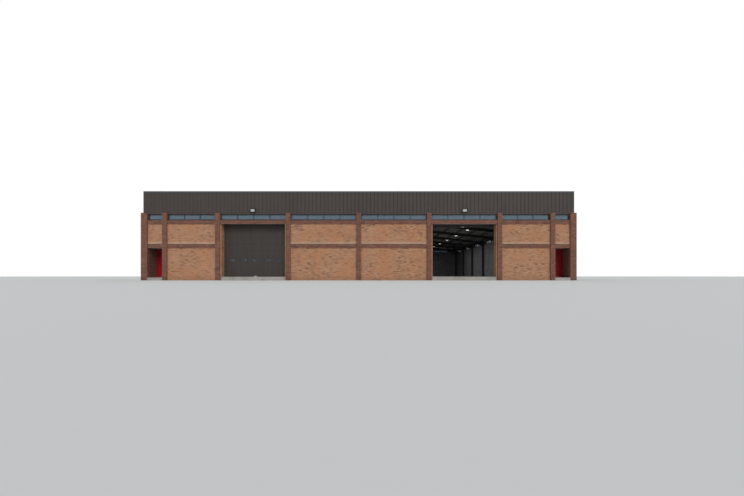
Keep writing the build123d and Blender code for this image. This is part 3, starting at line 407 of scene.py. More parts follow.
# Power-floated concrete: pale grey, blotched a metre across where it cured unevenly, with 5 mm float marks
CONCRETE = plain_finish("float_finished_concrete", lambda f: clouds(f, 1100, 6.0, 0.65),
                        ("#746F68", 285, 0.55, 0.75, 0.4, 6.0), lift=(5.5, 1.0, 0.5), Roughness=0.85,
                        tones=[(0.3, "#8F8A83"), (0.55, "#A5A09A"), (0.8, "#B2ADA6")], Specular_IOR_Level=0.3)
# Hot-dip galvanised steel: a spangle of 9 mm crystals, dulled by the weather
GALVANISED = plain_finish("hot_dip_galvanised_steel",
                          lambda f: f.add("TexVoronoi", {"Vector": f.place, "Scale": 1000 / 9}, "Color"),
                          ("#6E7173", 165, 0.4, 0.8, 0.5), tones=[(0.0, "#7E8386"), (1.0, "#A3A7A8")],
                          lift=(17, 0.5, 0.3), Metallic=1.0, Roughness=0.48)
# Plastic-coated steel sheet, roll-formed: soft sheen and a leather grain of 1.7 mm; streaks 70 mm wide run down
# for 2 m, and the coat has chalked in patches of 2 m
FASCIA, COPING, ROOFING = (
    plain_finish(name, colour, (dusty, (70, 70, 2000), 0.45, 0.8, 0.35), (dusty, 2000, 0.35, 0.75, 0.4, 5.0),
                 cells=(1.7, 0.4), gloss=(500, 0.3, 0.7, sheen, sheen + 0.15), Specular_IOR_Level=0.25)
    for name, colour, dusty, sheen in (("brown_coated_ribbed_steel", "#423B37", "#4E4643", 0.5),
                                       ("slate_blue_coated_steel", "#434951", "#525860", 0.4),
                                       ("goosewing_grey_coated_steel", "#7F8281", "#6A6C6A", 0.45)))
# Sand and cement mortar, struck by trowel: matt, uneven in colour over half a metre, with a sandy 3 mm grain
MORTAR, BROWN_MORTAR = (
    plain_finish(name, wet, (dry, 455, 0.3, 0.7, 1.0), lift=(3.3, 2.0, 0.5, 2.0), Roughness=0.95,
                 Specular_IOR_Level=0.2)
    for name, wet, dry in (("sand_cement_mortar", "#8C7A68", "#A8967F"),
                           ("pigmented_brown_mortar", "#574539", "#6E594B")))
# Rolled structural steel under dark grey primer: matt, slightly uneven, dusty in patches
PRIMED = plain_finish("grey_primed_structural_steel", "#35383B", ("#43464A", 330, 0.3, 0.75, 1.0, 5.0),
                      lift=(11, 0.6, 0.4), Roughness=0.62, Specular_IOR_Level=0.4)
# Powder-coated and cast aluminium: even colour with a 1.4 mm orange peel and slight dust
WINDOW_METAL, LAMP_METAL = (
    plain_finish(name, colour, ("#5B5753", 200, 0.45, 0.8, 0.35, 5.0), lift=(1.4, 0.3, 0.4, 1.0), Roughness=rough)
    for name, colour, rough in (("bronze_powder_coated_aluminium", "#2B2724", 0.4),
                                ("black_die_cast_aluminium", "#1A1B1D", 0.45)))
# Float glass behind an old solar film: its even blue-grey haze is partly the film and partly a painted reflection of
# the sky; half seen through, washed clear in runs 0.8 m long
FILM_AND_PAINTED_SKY_GLASS = plain_finish("float_glass_film_and_painted_sky", "#6A8294", ("#5A7284", (200, 200, 830), 0.4, 0.75, 0.5, 3.0),
                            Roughness=0.08, Transmission_Weight=0.35, IOR=1.5)
# The hall side of the same glass, without the film and the painted sky: clear, with a little dust
CLEAR_GLASS = plain_finish("clear_float_glass", "#F0F4F2", gloss=(330, 0.4, 0.8, 0.02, 0.12, 5.0),
                           Transmission_Weight=1.0, IOR=1.5)
# Double acrylic vision pane: faintly blue, one clouded more than the next, with fine scratches; the blue of the pane
# and of its clouding is a painted reflection of the sky
ACRYLIC = plain_finish("clear_acrylic_sheet", "#34404B", ("#5F7080", 1100, 0.42, 0.6, 1.0, 2.0),
                       gloss=(25, 0.4, 0.8, 0.15, 0.3, 6.0), Transmission_Weight=0.5, IOR=1.49)
# Stucco-embossed coated steel of a sectional door: 3 mm pebbles, dulled, with dirt washed down for 1.6 m
SECTION = plain_finish("stucco_embossed_coated_steel", "#3E3834", ("#4A433E", (165, 165, 1650), 0.4, 0.75, 0.45),
                       cells=(3.3, 0.8), Roughness=0.6, Specular_IOR_Level=0.25)
# Red gloss enamel brushed on steel: brush lines 2 mm apart, dulled by hands and dust
ENAMEL = plain_finish("red_gloss_enamel", "#A1141F", ("#7E1119", 330, 0.4, 0.8, 0.6, 5.0),
                      lift=((2, 2, 165), 0.3, 0.4, 2.0), gloss=(125, 0.3, 0.7, 0.3, 0.45))
# Satin anodised aluminium: fine brushed grain, a millimetre apart, and pale sheen
ANODISED = plain_finish("satin_anodised_aluminium", "#C9CACB", gloss=((1.1, 1.1, 50), 0.3, 0.7, 0.28, 0.4, 2.0),
                        Metallic=1.0)
# Moulded prismatic acrylic bell, lit from within: pale, glowing, with prism rings 4 mm apart and dust
PRISMATIC = plain_finish("prismatic_acrylic_bell", "#E4E7E6", ("#C2C5C4", 83, 0.4, 0.8, 0.5),
                         lift=((500, 500, 4), 1.0, 0.6, 1.0), Roughness=0.3, Emission_Color="#F1F5F4",
                         Emission_Strength=1.3)
# Frosted lamp glass, lit: a soft even glow
ENVELOPE = plain_finish("frosted_lamp_glass", "#F2F2EE", Roughness=0.4, Emission_Color="#FFFDF4",
                        Emission_Strength=2.2)
# Toughened lens glass over a bright reflector: pale, with dust in blots of 0.1 m
LENS = plain_finish("toughened_lens_glass", "#C9CFCC", ("#9A9E9B", 110, 0.45, 0.8, 0.5), Roughness=0.12,
                    Coat_Weight=0.6, Coat_Roughness=0.05)
# Black weather-seal rubber, extruded: matt with a grey bloom
RUBBER = plain_finish("extruded_seal_rubber", "#1C1C1D", ("#343434", 71, 0.4, 0.8, 0.5), lift=(2.5, 0.3, 0.3),
                      Roughness=0.7)

for finish, node_names in (
        (CONCRETE, "floor_slab entrance_steps recess_ceilings"), (WINDOW_METAL, "window_frames"),
        (FILM_AND_PAINTED_SKY_GLASS, "window_glass"), (FASCIA, "front_fascia corner_trims"), (COPING, "coping"),
        (PRIMED, "eaves_beams columns rafters"), (ROOFING, "roof_panels ridge_caps"), (BLOCK, "party_wall"),
        (GALVANISED, "cladding_rails parapet_posts purlins gutters frame_hinges"),
        (GALVANISED, "door_uprights door_runs door_brackets door_shafts"),
        (ENAMEL, "entrance_frames left_entrance_door right_entrance_door"),
        (ANODISED, "left_door_handles right_door_handles"), (SECTION, "left_door_sections right_door_sections"),
        (ACRYLIC, "door_panes"), (LAMP_METAL, "floodlights floodlight_brackets"), (LENS, "floodlight_panes"),
        (PRISMATIC, "bay_lights")):
    for node_name in node_names.split():
        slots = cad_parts[node_name].data.materials
        slots.clear()
        slots.append(finish)

# Brickwork pieces


def bond(u0, u1, z0, z1, first, pitch, odd, low, high, least):
    """Fronts in half bond over a rectangle, cut at its edges: columns u0, u1, z0, z1 of those not cut too small.

    One starts at first + n pitch, and half a pitch further on in odd courses; low and high are their courses' edges.
    """
    start = first + odd * pitch / 2 + np.arange(math.ceil((u1 - u0) / pitch) + 2) * pitch
    ends = (start, start + pitch - JOINT, low + JOINT / 2 + 0 * start, high - JOINT / 2 + 0 * start)
    ends = [np.clip(end, *limits) for end, limits in zip(ends, ((u0, u1), (u0, u1), (z0, z1), (z0, z1)))]
    keep = (ends[1] - ends[0] > least) & (ends[3] - ends[2] > least)
    return [end[keep] for end in ends]


def block_faces(u0, u1, z0, z1):
    """Blocks in half bond, whole ones at multiples of their pitch and their course from the floor up."""
    k = np.arange(math.floor((z0 - FLOOR_TOP) / BLOCK_COURSE), math.ceil((z1 - FLOOR_TOP) / BLOCK_COURSE))[:, None]
    low = FLOOR_TOP + k * BLOCK_COURSE
    first = (math.floor(u0 / BLOCK_PITCH) - 1) * BLOCK_PITCH + JOINT / 2
    return bond(u0, u1, z0, z1, first, BLOCK_PITCH, k % 2, low, low + BLOCK_COURSE, CUT_BLOCK)


def brick_faces(u0, u1, z0, z1, phase=0.0):
    """Bricks in half bond, the first whole one a phase on from the start, in the courses of the levels."""
    n = np.nonzero((LEVELS[:-1] >= z0 - 1e-4) & (LEVELS[1:] <= z1 + 1e-4))[0][:, None]
    return bond(u0, u1, z0, z1, u0 + phase - BRICK_PITCH, BRICK_PITCH, n % 2, LEVELS[n], LEVELS[n + 1], CUT_BRICK)


class Bricks:
    """Collects brick fronts, mortar cores and block linings of one node, then makes one mesh."""

    def __init__(self, name, node, seed, brick=BROWN, joint=BROWN_MORTAR, slot="brown_brick"):
        self.name, self.slot, self.node = name, slot, node
        self.materials = [brick, joint, BLOCK]
        self.low, self.high, self.kind = [], [], []
        self.random = np.random.default_rng(seed)

    def boxes(self, wall, rows, kind):
        """Boxes in wall coordinates, rows (u0, u1, d0, d1, z0, z1): 0 is brick, 1 mortar, 2 block."""
        rows = np.reshape(rows, (-1, 6))
        self.low.append(wall.place(rows[:, 0::2]))
        self.high.append(wall.place(rows[:, 1::2]))
        self.kind += [kind] * len(rows)

    def core(self, wall, u0, u1, d0, d1, z0, z1, lining=None, insets=(1, 1, 1)):
        """Mortar body of a block of wall, RELIEF inside its brick faces: insets for u0, u1 and d0.

        A lining of blocks covers its back, as far inside each end as the two values of lining say.
        """
        a, b, c = (RELIEF * n for n in insets)
        self.boxes(wall, [u0 + a, u1 - b, d0 + c, d1 - LINING if lining else d1, z0, z1], 1)
        if lining:
            self.lining(wall, u0 + lining[0], u1 - lining[1], d1, z0, z1)

    def lining(self, wall, u0, u1, d, z0, z1):
        """Block fronts up to depth d, over a strip as deep as their joints."""
        z0 = max(z0, FLOOR_TOP - JOINT)
        self.boxes(wall, [u0, u1, d - LINING, d - BLOCK_RELIEF, z0, z1], 2)
        first, last, low, high = block_faces(u0, u1, z0, z1)
        self.boxes(wall, columns(first, last, d - BLOCK_RELIEF - LAP, d, low, high), 2)

    def face(self, wall, u0, u1, d, z0, z1, phase=0.0):
        """Brick fronts over a face at depth d."""
        first, last, low, high = brick_faces(u0, u1, z0, z1, phase)
        self.boxes(wall, columns(first, last, d, d + CHEEK, low, high), 0)

    def cheek(self, wall, u, side, d0, d1, z0, z1):
        """A narrow return at u, side -1 facing back along the wall and 1 facing on: one cut brick a course."""
        first, last, low, high = brick_faces(d0 + CHEEK, d1, z0, z1)
        self.boxes(wall, columns(u, u - side * CHEEK, first, last, low, high), 0)

    def pier_cheeks(self, wall, u, side):
        """Cheeks of a pier: down to the panel, down to the lip, and past the windows to the inside."""
        self.cheek(wall, u, side, 0, PANEL_RECESS, 0, BAND_TOP)
        self.cheek(wall, u, side, 0, LIP_RECESS, BAND_TOP, LIP_TOP)
        self.cheek(wall, u, side, LIP_RECESS, WALL_INNER, BAND_TOP, WINDOW_HEAD - 0.01)

    def make(self):
        """The finished mesh, with a kiln tone for each brick: most near the middle, 5 % dark."""
        points, quads = box_mesh(np.concatenate(self.low), np.concatenate(self.high))
        count = len(self.kind)
        tone = np.clip(self.random.normal(0.55, 0.22, count), 0.25, 1)
        tone = np.where(self.random.random(count) < 0.05, self.random.uniform(0, 0.25, count), tone)
        piece = mesh_object(self.name, points, quads, self.materials, np.repeat(tone, 8), np.repeat(self.kind, 6))
        finish_piece(piece, (self.node,))


# Panels and bands of every bay from the foot up, then the piers and corners of that side
BAND_PHASE = 0.05
bands = Bricks("band_brickwork", "brick_bands", 20)
piers = Bricks("pier_brickwork", "brick_piers", 21)
corners = Bricks("corner_brickwork", "corner_piers", 22)
for number, (side, wall) in enumerate(WALLS.items()):
    panels = Bricks(f"{side}_panel_brickwork", f"{side}_panels", 10 + number, BUFF, MORTAR, "buff_brick")
    for n, (u0, u1) in enumerate(wall.bays):
        door, entry = (side == "front" and n in bays for bays in (DOOR_BAYS, ENTRY_BAYS))
        for work, there, recess, z0, z1, phase in (
                (panels, not door and not entry, PANEL_RECESS, 0, MID_FOOT, 0),
                (bands, not door, BAND_RECESS, MID_FOOT, MID_TOP, BAND_PHASE),
                (panels, not door, PANEL_RECESS, MID_TOP, DOOR_HEAD, 0),
                (bands, True, BAND_RECESS, DOOR_HEAD, BAND_TOP, BAND_PHASE)):
            if there:
                work.core(wall, u0, u1, recess, WALL_INNER, z0, z1, MEET, (0, 0, 1))
                work.face(wall, u0, u1, recess, z0, z1, phase)
    panels.make()
    for p in wall.piers:
        u0, u1 = p - PIER / 2, p + PIER / 2
        piers.core(wall, u0, u1, 0, WALL_INNER, 0, WINDOW_HEAD, (CHEEK, CHEEK))
        piers.core(wall, u0, u1, 0, LIP_RECESS, WINDOW_HEAD, LIP_TOP)
        piers.face(wall, u0, u1, 0, 0, LIP_TOP)
        piers.pier_cheeks(wall, u0, -1)
        piers.pier_cheeks(wall, u1, 1)
    far = wall.length - CORNER
    for u0, u1, facing, u in ((0, CORNER, 1, CORNER), (far, wall.length - CHEEK, -1, far)):
        corners.face(wall, u0, u1, 0, 0, LIP_TOP)
        corners.pier_cheeks(wall, u, facing)
    # The square of each corner is made once, with the front and the rear; the sides start behind it
    for depth, z0, z1, lined in ((WALL_INNER, 0, WINDOW_HEAD, True), (LIP_RECESS, WINDOW_HEAD, LIP_TOP, False)):
        corners.core(wall, depth, CORNER, 0, depth, z0, z1, (0, CHEEK) if lined else None, (0, 1, 1))
        corners.core(wall, far, wall.length - depth, 0, depth, z0, z1, (CHEEK, 0) if lined else None, (1, 0, 1))
        if side in LONG_SIDES:
            corners.core(wall, 0, depth, 0, depth, z0, z1, None, (1, 0, 1))
            corners.core(wall, wall.length - depth, wall.length, 0, depth, z0, z1, None, (0, 1, 1))
for s in (-1, 1):
    piers.cheek(front, HALF_WIDTH + s * PORCH_FACE, s, PANEL_RECESS, WALL_INNER, 0, MID_FOOT)
    corners.cheek(front, HALF_WIDTH + s * (HALF_WIDTH - CORNER), -s, PANEL_RECESS, WALL_INNER, 0, MID_FOOT)

# Doorway jambs in buff brick, and the side walls of the entrance recesses in dark brick
jambs = Bricks("jamb_brickwork", "door_jambs", 23, JAMB_BUFF, MORTAR, "buff_brick")
recesses = Bricks("recess_brickwork", "recess_walls", 24)
for n in DOOR_BAYS:
    for pier_edge, facing in zip(front.bays[n], (1, -1)):
        nib = pier_edge + facing * JAMB_NIB
        insets = (0, 1, 1) if facing > 0 else (1, 0, 1)
        u0, u1 = sorted((pier_edge, nib))
        jambs.core(front, u0, u1, PANEL_RECESS, JAMB_REACH, 0, DOOR_HEAD, None, insets)
        jambs.face(front, u0, u1, PANEL_RECESS, 0, DOOR_HEAD)
        jambs.cheek(front, nib, facing, PANEL_RECESS, JAMB_REACH, 0, DOOR_HEAD)
        u0, u1 = sorted((pier_edge, pier_edge - facing * PIER))
        jambs.boxes(front, [u0, u1, WALL_INNER, JAMB_REACH - LINING, 0, DOOR_HEAD], 2)
        jambs.lining(front, u0, u1, JAMB_REACH, 0, DOOR_HEAD)
# The bricks on the outer side of a recess stand 5 mm out of the wall and end at the door's frame
RECESS_FRAME, PROUD = 0.09, 0.005
for s in (-1, 1):
    wall_face, hall_face = HALF_WIDTH + s * PORCH_FACE, HALF_WIDTH + s * PORCH_INNER
    u0, u1 = sorted((wall_face, hall_face))
    recesses.core(front, u0, u1, WALL_INNER, RECESS_BACK, 0, MID_FOOT, None, (0, 1, 0) if s > 0 else (1, 0, 0))
    recesses.cheek(front, wall_face, s, WALL_INNER - CHEEK, RECESS_BACK, 0, MID_FOOT)
    recesses.cheek(front, HALF_WIDTH + s * (HALL - PROUD), -s, WALL_INNER - CHEEK, RECESS_BACK - RECESS_FRAME,
                   0, MID_FOOT)
for work in (bands, piers, corners, jambs, recesses):
    work.make()

# Party wall: block fronts over both faces of a core set back by the joints
low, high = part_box("party_wall")
cores, fronts = [], []
for y0, y1 in zip(FRAME_Y, FRAME_Y[1:]):
    y0, y1 = FRONT + y0 + COLUMN_WIDTH / 2, FRONT + y1 - COLUMN_WIDTH / 2
    cores.append((low[0] + BLOCK_RELIEF, high[0] - BLOCK_RELIEF, y0, y1, low[2], high[2]))
    for face, facing in ((low[0], 1), (high[0], -1)):
        fronts.append(columns(face, face + facing * (BLOCK_RELIEF + LAP), *block_faces(y0, y1, low[2], high[2])))
rows = np.concatenate([cores] + fronts)
party_tone = np.random.default_rng(25).normal(0.55, 0.16, len(rows))
finish_piece(mesh_object("party_blockwork", *boxes(rows), [BLOCK], np.repeat(party_tone, 8)),
             ("party_wall",))

# Window bars: mullions and glazing beads on both faces of the glass, panes near 1.2 m wide
GLASS_FRONT, GLASS_BACK, BEAD, BAR, PANE = 0.224, 0.236, 0.014, 0.04, 1.16
BAR_FRONT, BAR_BACK = WINDOW_RECESS + 0.004, WINDOW_RECESS + 0.056
PANE_FOOT, PANE_HEAD = BAND_TOP + 0.06, WINDOW_HEAD - FRAME_SIDE
# Pressed sill in (depth, height), falling 18 mm to a 22 mm nose in front of the dark band
SILL = [[(0.048, 4.283), (0.199, 4.301), (0.199, 4.304), (0.048, 4.286)],
        [(0.045, 4.262), (0.048, 4.262), (0.048, 4.286), (0.045, 4.286)]]
# Mortar weathering on the ledge of the middle band, and the drip flashing under the foot of the cladding
WEATHERING = [(0.058, 2.589), (0.101, 2.589), (0.101, 2.617), (0.058, 2.593)]
DRIP = [[(0.113, 4.69), (0.1145, 4.69), (0.1145, 4.76), (0.113, 4.76)],
        [(0.1145, 4.7025), (0.157, 4.7025), (0.157, 4.704), (0.1145, 4.704)]]
mullions, sills, fillets, drips, panes, pane_faces = [], [], [], [], [], []
for side, wall in WALLS.items():
    rows = []
    for u0, u1 in wall.bays:
        a, b = u0 + FRAME_SIDE, u1 - FRAME_SIDE
        count = max(1, round((u1 - u0) / PANE))
        middles = a + (b - a) * np.arange(1, count) / count
        for m in middles:
            for d0, d1 in ((BAR_FRONT, GLASS_FRONT), (GLASS_BACK, BAR_BACK)):
                rows.append((m - BAR / 2, m + BAR / 2, d0, d1, PANE_FOOT, PANE_HEAD))
        edges = [a] + [m + o for m in middles for o in (-BAR / 2, BAR / 2)] + [b]
        for first, last in zip(edges[0::2], edges[1::2]):
            for d0, d1 in ((GLASS_FRONT - BEAD, GLASS_FRONT), (GLASS_BACK, GLASS_BACK + BEAD)):
                rows += [(first, last, d0, d1, PANE_FOOT, PANE_FOOT + BEAD),
                         (first, last, d0, d1, PANE_HEAD - BEAD, PANE_HEAD),
                         (first, first + BEAD, d0, d1, PANE_FOOT + BEAD, PANE_HEAD - BEAD),
                         (last - BEAD, last, d0, d1, PANE_FOOT + BEAD, PANE_HEAD - BEAD)]
    mullions.append(boxes(rows, wall))
    # One sheet of glass to a bay: film and painted sky reflection on its outer faces, the face towards the hall clear
    # but at the rear
    panes.append(boxes([(u0 + FRAME_SIDE, u1 - FRAME_SIDE, GLASS_FRONT, GLASS_BACK, PANE_FOOT, PANE_HEAD)
                        for u0, u1 in wall.bays], wall))
    pane_faces.append(np.tile((BOX_NORMALS @ wall.inward > 0.5) & (side != "rear"), len(wall.bays)))
    spans = [(u0 + 0.003, u1 - 0.003) for u0, u1 in wall.bays]
    sills += [wall_bars(wall, spans, outline) for outline in SILL]
    ledges = [span for n, span in enumerate(spans) if side != "front" or n not in DOOR_BAYS]
    fillets.append(wall_bars(wall, ledges, WEATHERING))
    end = CLADDING_RECESS + 0.001 if side in LONG_SIDES else CLADDING_RECESS + 0.04
    drips += [wall_bars(wall, [(end, wall.length - end)], outline) for outline in DRIP]
finish_piece(mesh_object("window_panes", *joined(panes), [FILM_AND_PAINTED_SKY_GLASS, CLEAR_GLASS],
                         which=np.concatenate(pane_faces)), ("window_glass",))
simple_piece("window_bars", mullions, WINDOW_METAL)
simple_piece("window_sills", sills, WINDOW_METAL)
simple_piece("band_weathering", fillets, MORTAR)
simple_piece("cladding_drip", drips, FASCIA)

# Ribbed cladding of the sides and rear at its true pitch, with screws on every pan
RIB, GROOVE, GROOVE_DEEP = 0.274, 0.07, 0.025


def rib_middles(first, last):
    """Middles of the grooves between two ends, spread evenly about the middle."""
    count = int((last - first) // RIB)
    return first + (last - first - (count - 1) * RIB) / 2 + RIB * np.arange(count)


def ribbed_sheet(wall, first, last):
    """A sheet whose outer line runs flat, in and out again at each groove, carried from foot to top, flat behind."""
    middle = rib_middles(first, last)
    u = np.concatenate([[first], (middle[:, None] + np.array([-0.5, 0, 0.5]) * GROOVE).ravel(), [last]])
    outer = np.concatenate([[0], np.tile([0, GROOVE_DEEP, 0], len(middle)), [0]]) + CLADDING_RECESS
    inner = np.full_like(u, CLADDING_RECESS + SHEET)
    rows = [(outer, CLADDING_FOOT), (outer, CLADDING_TOP), (inner, CLADDING_TOP), (inner, CLADDING_FOOT),
            (outer, CLADDING_FOOT)]
    local = np.stack([columns(u, d, z) for d, z in rows])
    first_end = np.arange(4) * len(u)
    return wall.place(local).reshape(-1, 3), np.concatenate(
        [grid_quads(5, len(u)), [first_end, first_end[::-1] + len(u) - 1]])


screws = []
SCREW = [(0, -0.006), (0.006, -0.006), (0.0065, -0.0015), (0.011, -0.0015), (0.011, 0.0005), (0, 0.0005)]
SCREW_ROWS = [4.80, 5.36, 5.80, 6.16]
for side, wall in WALLS.items():
    end = CLADDING_RECESS if side in LONG_SIDES else CLADDING_RECESS + SHEET
    if side != "front":
        simple_piece(f"{side}_cladding", [ribbed_sheet(wall, end, wall.length - end)], FASCIA,
                     (f"{side}_fascia",))
    pans = rib_middles(end, wall.length - end)[:-1] + RIB / 2
    u, z = (a.ravel() for a in np.meshgrid(pans, SCREW_ROWS))
    points, quads = turned(SCREW, 6, columns(u, CLADDING_RECESS, z), "y")
    screws.append((wall.place(points), quads))
simple_piece("cladding_screws", screws, FASCIA)

# Cover straps over the joints of the coping, every 3 m, on its outer leg
STRAP_PITCH, STRAP, STRAP_FACES, STRAP_LEVELS = 3.0, 0.08, (0.1135, 0.1155), (6.233, 6.333)
straps = []
for wall in WALLS.values():
    middles = np.arange(STRAP_PITCH, wall.length - 1.0, STRAP_PITCH)
    straps.append(boxes(columns(middles - STRAP / 2, middles + STRAP / 2, *STRAP_FACES, *STRAP_LEVELS), wall))
simple_piece("coping_straps", straps, COPING)

# Roof sheet ribs: trapezoids 35 mm high down each slope, 333 mm apart, clear of party line, ridge caps and gutters
ROOF_START, ROOF_RIB = CLADDING_RECESS + SHEET + RAIL + POST + 0.01, 0.333
RIB_FOOT = (PURLIN + ROOF_PANEL) / math.cos(SLOPE)
PARTY_GAP, RIDGE_GAP, GUTTER_GAP, END_GAP = 0.07, 0.275, 0.195, 0.2
RIB_SECTION = np.array([(-0.035, -0.002), (-0.017, 0.035), (0.017, 0.035), (0.035, -0.002)])


def slope_z(x):
    """Height of the rafters' top at a distance from the party line."""
    return WINDOW_HEAD + (RIDGE_X - abs(x - RIDGE_X)) * math.tan(SLOPE)


ribs = []
rib_count = int((DEPTH - 2 * (ROOF_START + END_GAP)) / ROOF_RIB) + 1
rib_y = FRONT + ROOF_START + END_GAP + ROOF_RIB * np.arange(rib_count)
for x0, x1 in ((PARTY_GAP, RIDGE_X - RIDGE_GAP), (RIDGE_X + RIDGE_GAP, HALL - GUTTER_GAP)):
    for s in (-1, 1):
        points = np.empty((len(rib_y), 2, 4, 3))
        for n, x in enumerate((x0, x1)):
            points[:, n, :, 0] = s * x
            points[:, n, :, 1] = rib_y[:, None] + RIB_SECTION[:, 0]
            points[:, n, :, 2] = slope_z(x) + RIB_FOOT + RIB_SECTION[:, 1]
        ribs.append(bars(points, BAR_FACES if s > 0 else BAR_FACES[:, ::-1]))
simple_piece("roof_sheet_ribs", ribs, ROOFING)

# Column base plates with nuts, and bolted end plates at the haunches
plates, nuts = [], []
NUT = [(0, 0), (0.017, 0), (0.017, 0.018), (0.008, 0.018), (0.008, 0.032), (0, 0.032)]
PLATE_HALF, HAUNCH_TALL, NUT_SPREAD, NUT_INSET = 0.1, 0.6, 0.06, 0.15
for y in FRAME_Y:
    middle = FRONT + y
    feet = [(-COLUMN_DEPTH / 2 - PLATE_LAP, COLUMN_DEPTH / 2 + PLATE_LAP)]
    joints = [COLUMN_DEPTH / 2]
    if y != FRAME_Y[0]:
        feet += [(s * HALL, s * (HALL - COLUMN_DEPTH - PLATE_LAP)) for s in (-1, 1)]
        joints.append(HALL - COLUMN_DEPTH - END_PLATE)
    for x0, x1 in feet:
        plates.append((x0, x1, middle - PLATE_HALF, middle + PLATE_HALF, FLOOR_TOP, FLOOR_TOP + END_PLATE))
        inset = (x1 - x0) * NUT_INSET
        nuts += [(x, middle + t * NUT_SPREAD, FLOOR_TOP + END_PLATE) for x in (x0 + inset, x1 - inset) for t in (-1, 1)]
    for x in joints:
        top = slope_z(x) + 0.01
        plates += [(s * x, s * (x + END_PLATE), middle - PLATE_HALF, middle + PLATE_HALF, top - HAUNCH_TALL, top)
                   for s in (-1, 1)]
simple_piece("frame_plates", [boxes(plates)], PRIMED)
simple_piece("base_nuts", [turned(NUT, 6, nuts)], GALVANISED)

# High-bay lights: gear case, prismatic bell and lit lamp in the place of each plain bell, under the fourth purlin
LIGHT_TALL, LIGHT_GAP, LIGHT_PAST, PURLIN_FOOT = 0.26, 0.0003, 0.5, (-0.003, 0.065)
FIRST_PURLIN, LAST_PURLIN = 0.365, RIDGE_X - 0.13
light_x = FIRST_PURLIN + 3 * (LAST_PURLIN - FIRST_PURLIN) / 5
spots = []
for x in (light_x, 2 * RIDGE_X - light_x):
    foot = min(slope_z(x + edge) for edge in PURLIN_FOOT) - LIGHT_GAP - LIGHT_TALL
    spots += [(s * x, FRONT + y + LIGHT_PAST, foot) for s in (-1, 1) for y in FRAME_Y[1:-1]]
BELL = [(0.05, 0.138), (0.048, 0.134), (0.057, 0.132), (0.074, 0.118), (0.103, 0.083), (0.132, 0.04), (0.152, 0.0),
        (0.155, 0.0), (0.152, 0.005), (0.135, 0.04), (0.106, 0.085), (0.077, 0.122), (0.059, 0.136), (0.05, 0.138)]
CASE = [(0.0, 0.137), (0.053, 0.137), (0.053, 0.146), (0.048, 0.15), (0.048, 0.236), (0.04, 0.244), (0.01, 0.244),
        (0.01, 0.259), (0.0, 0.259)]
LAMP = [(0.0, 0.023), (0.022, 0.028), (0.035, 0.041), (0.041, 0.061), (0.036, 0.081), (0.018, 0.106), (0.013, 0.136),
        (0.0, 0.136)]
simple_piece("bay_light_bells", [turned(BELL, 32, spots)], PRISMATIC, ("bay_lights",), smooth=True)
simple_piece("bay_light_cases", [turned(CASE, 16, spots)], LAMP_METAL)
simple_piece("bay_light_lamps", [turned(LAMP, 16, spots)], ENVELOPE, smooth=True)

# Sectional doors: place of every section, by travel along the track as in the frame
CURTAIN_Y, BEND_FOOT, BEND, SECTIONS = 0.667, 4.06, 0.4, 8
CURTAIN_HALF = DOOR_HALF + 0.03
SECTION_TALL = (DOOR_HEAD + 0.045 - FLOOR_TOP - 0.005) / SECTIONS


def track_point(travel):
    """Track line (y, z): up to the bend, round its quarter circle, then level."""
    run = BEND_FOOT - FLOOR_TOP
    turn = np.clip(travel - run, 0, BEND * math.pi / 2) / BEND
    level = max(0.0, travel - run - BEND * math.pi / 2)
    return np.array([CURTAIN_Y + BEND * (1 - math.cos(turn)) + level,
                     FLOOR_TOP + min(travel, run) + BEND * math.sin(turn)])


def section_frames(travel):
    """Foot, up and outward directions of the sections, each a straight chord of the track, found by halving."""
    frames = []
    for _ in range(SECTIONS):
        near, far = travel, travel + 2 * SECTION_TALL
        for _ in range(50):
            middle = (near + far) / 2
            short = np.linalg.norm(track_point(middle) - track_point(travel)) < SECTION_TALL
            near, far = (middle, far) if short else (near, middle)
        foot, head = track_point(travel), track_point(far)
        up = (head - foot) / SECTION_TALL
        frames.append((foot, up, np.array([-up[1], up[0]])))
        travel = far
    return frames


def on_section(section, centre, rows):
    """Boxes on a section, rows (x0, x1, s0, s1, n0, n1): along the door, up from its foot, out from its inner face."""
    foot, up, out = section
    points, quads = boxes(rows)
    y, z = (foot + points[:, 1:2] * up + points[:, 2:] * out).T
    return columns(centre + points[:, 0], FRONT + y, z), quads


SKIN = 0.042
PANE_X = (np.arange(5) - 2) * 0.857
# Rim of a pane about its middle, foot rails on both faces and the seal below, and the pull with its plate and feet
RIM = np.array([(-0.24, 0.24, 0.105, 0.13), (-0.24, 0.24, -0.13, -0.105), (-0.24, -0.21, -0.105, 0.105),
                (0.21, 0.24, -0.105, 0.105)])
RAIL_HALF = CURTAIN_HALF - 0.002
FOOT_RAILS = [(-RAIL_HALF, RAIL_HALF, 0.004, 0.062, SKIN, SKIN + 0.003),
              (-RAIL_HALF, RAIL_HALF, 0.004, 0.062, -0.003, 0.0)]
FOOT_SEAL = [(-RAIL_HALF, RAIL_HALF, -0.002, 0.0035, 0.004, 0.038)]
PULL = [(-0.11, 0.11, 0.008, 0.06, 0.045, 0.048), (-0.075, -0.06, 0.02, 0.045, 0.049, 0.075),
        (0.06, 0.075, 0.02, 0.045, 0.049, 0.075), (-0.075, 0.075, 0.026, 0.041, 0.063, 0.077)]
HINGE_X = (-2.2, -1.35, -0.45, 0.45, 1.35, 2.2)
WHEEL = [(0, -0.006), (0.02, -0.006), (0.021, 0), (0.02, 0.006), (0, 0.006)]
rims, rails, seals, hinges, rollers, pulls = [], [], [], [], [], []
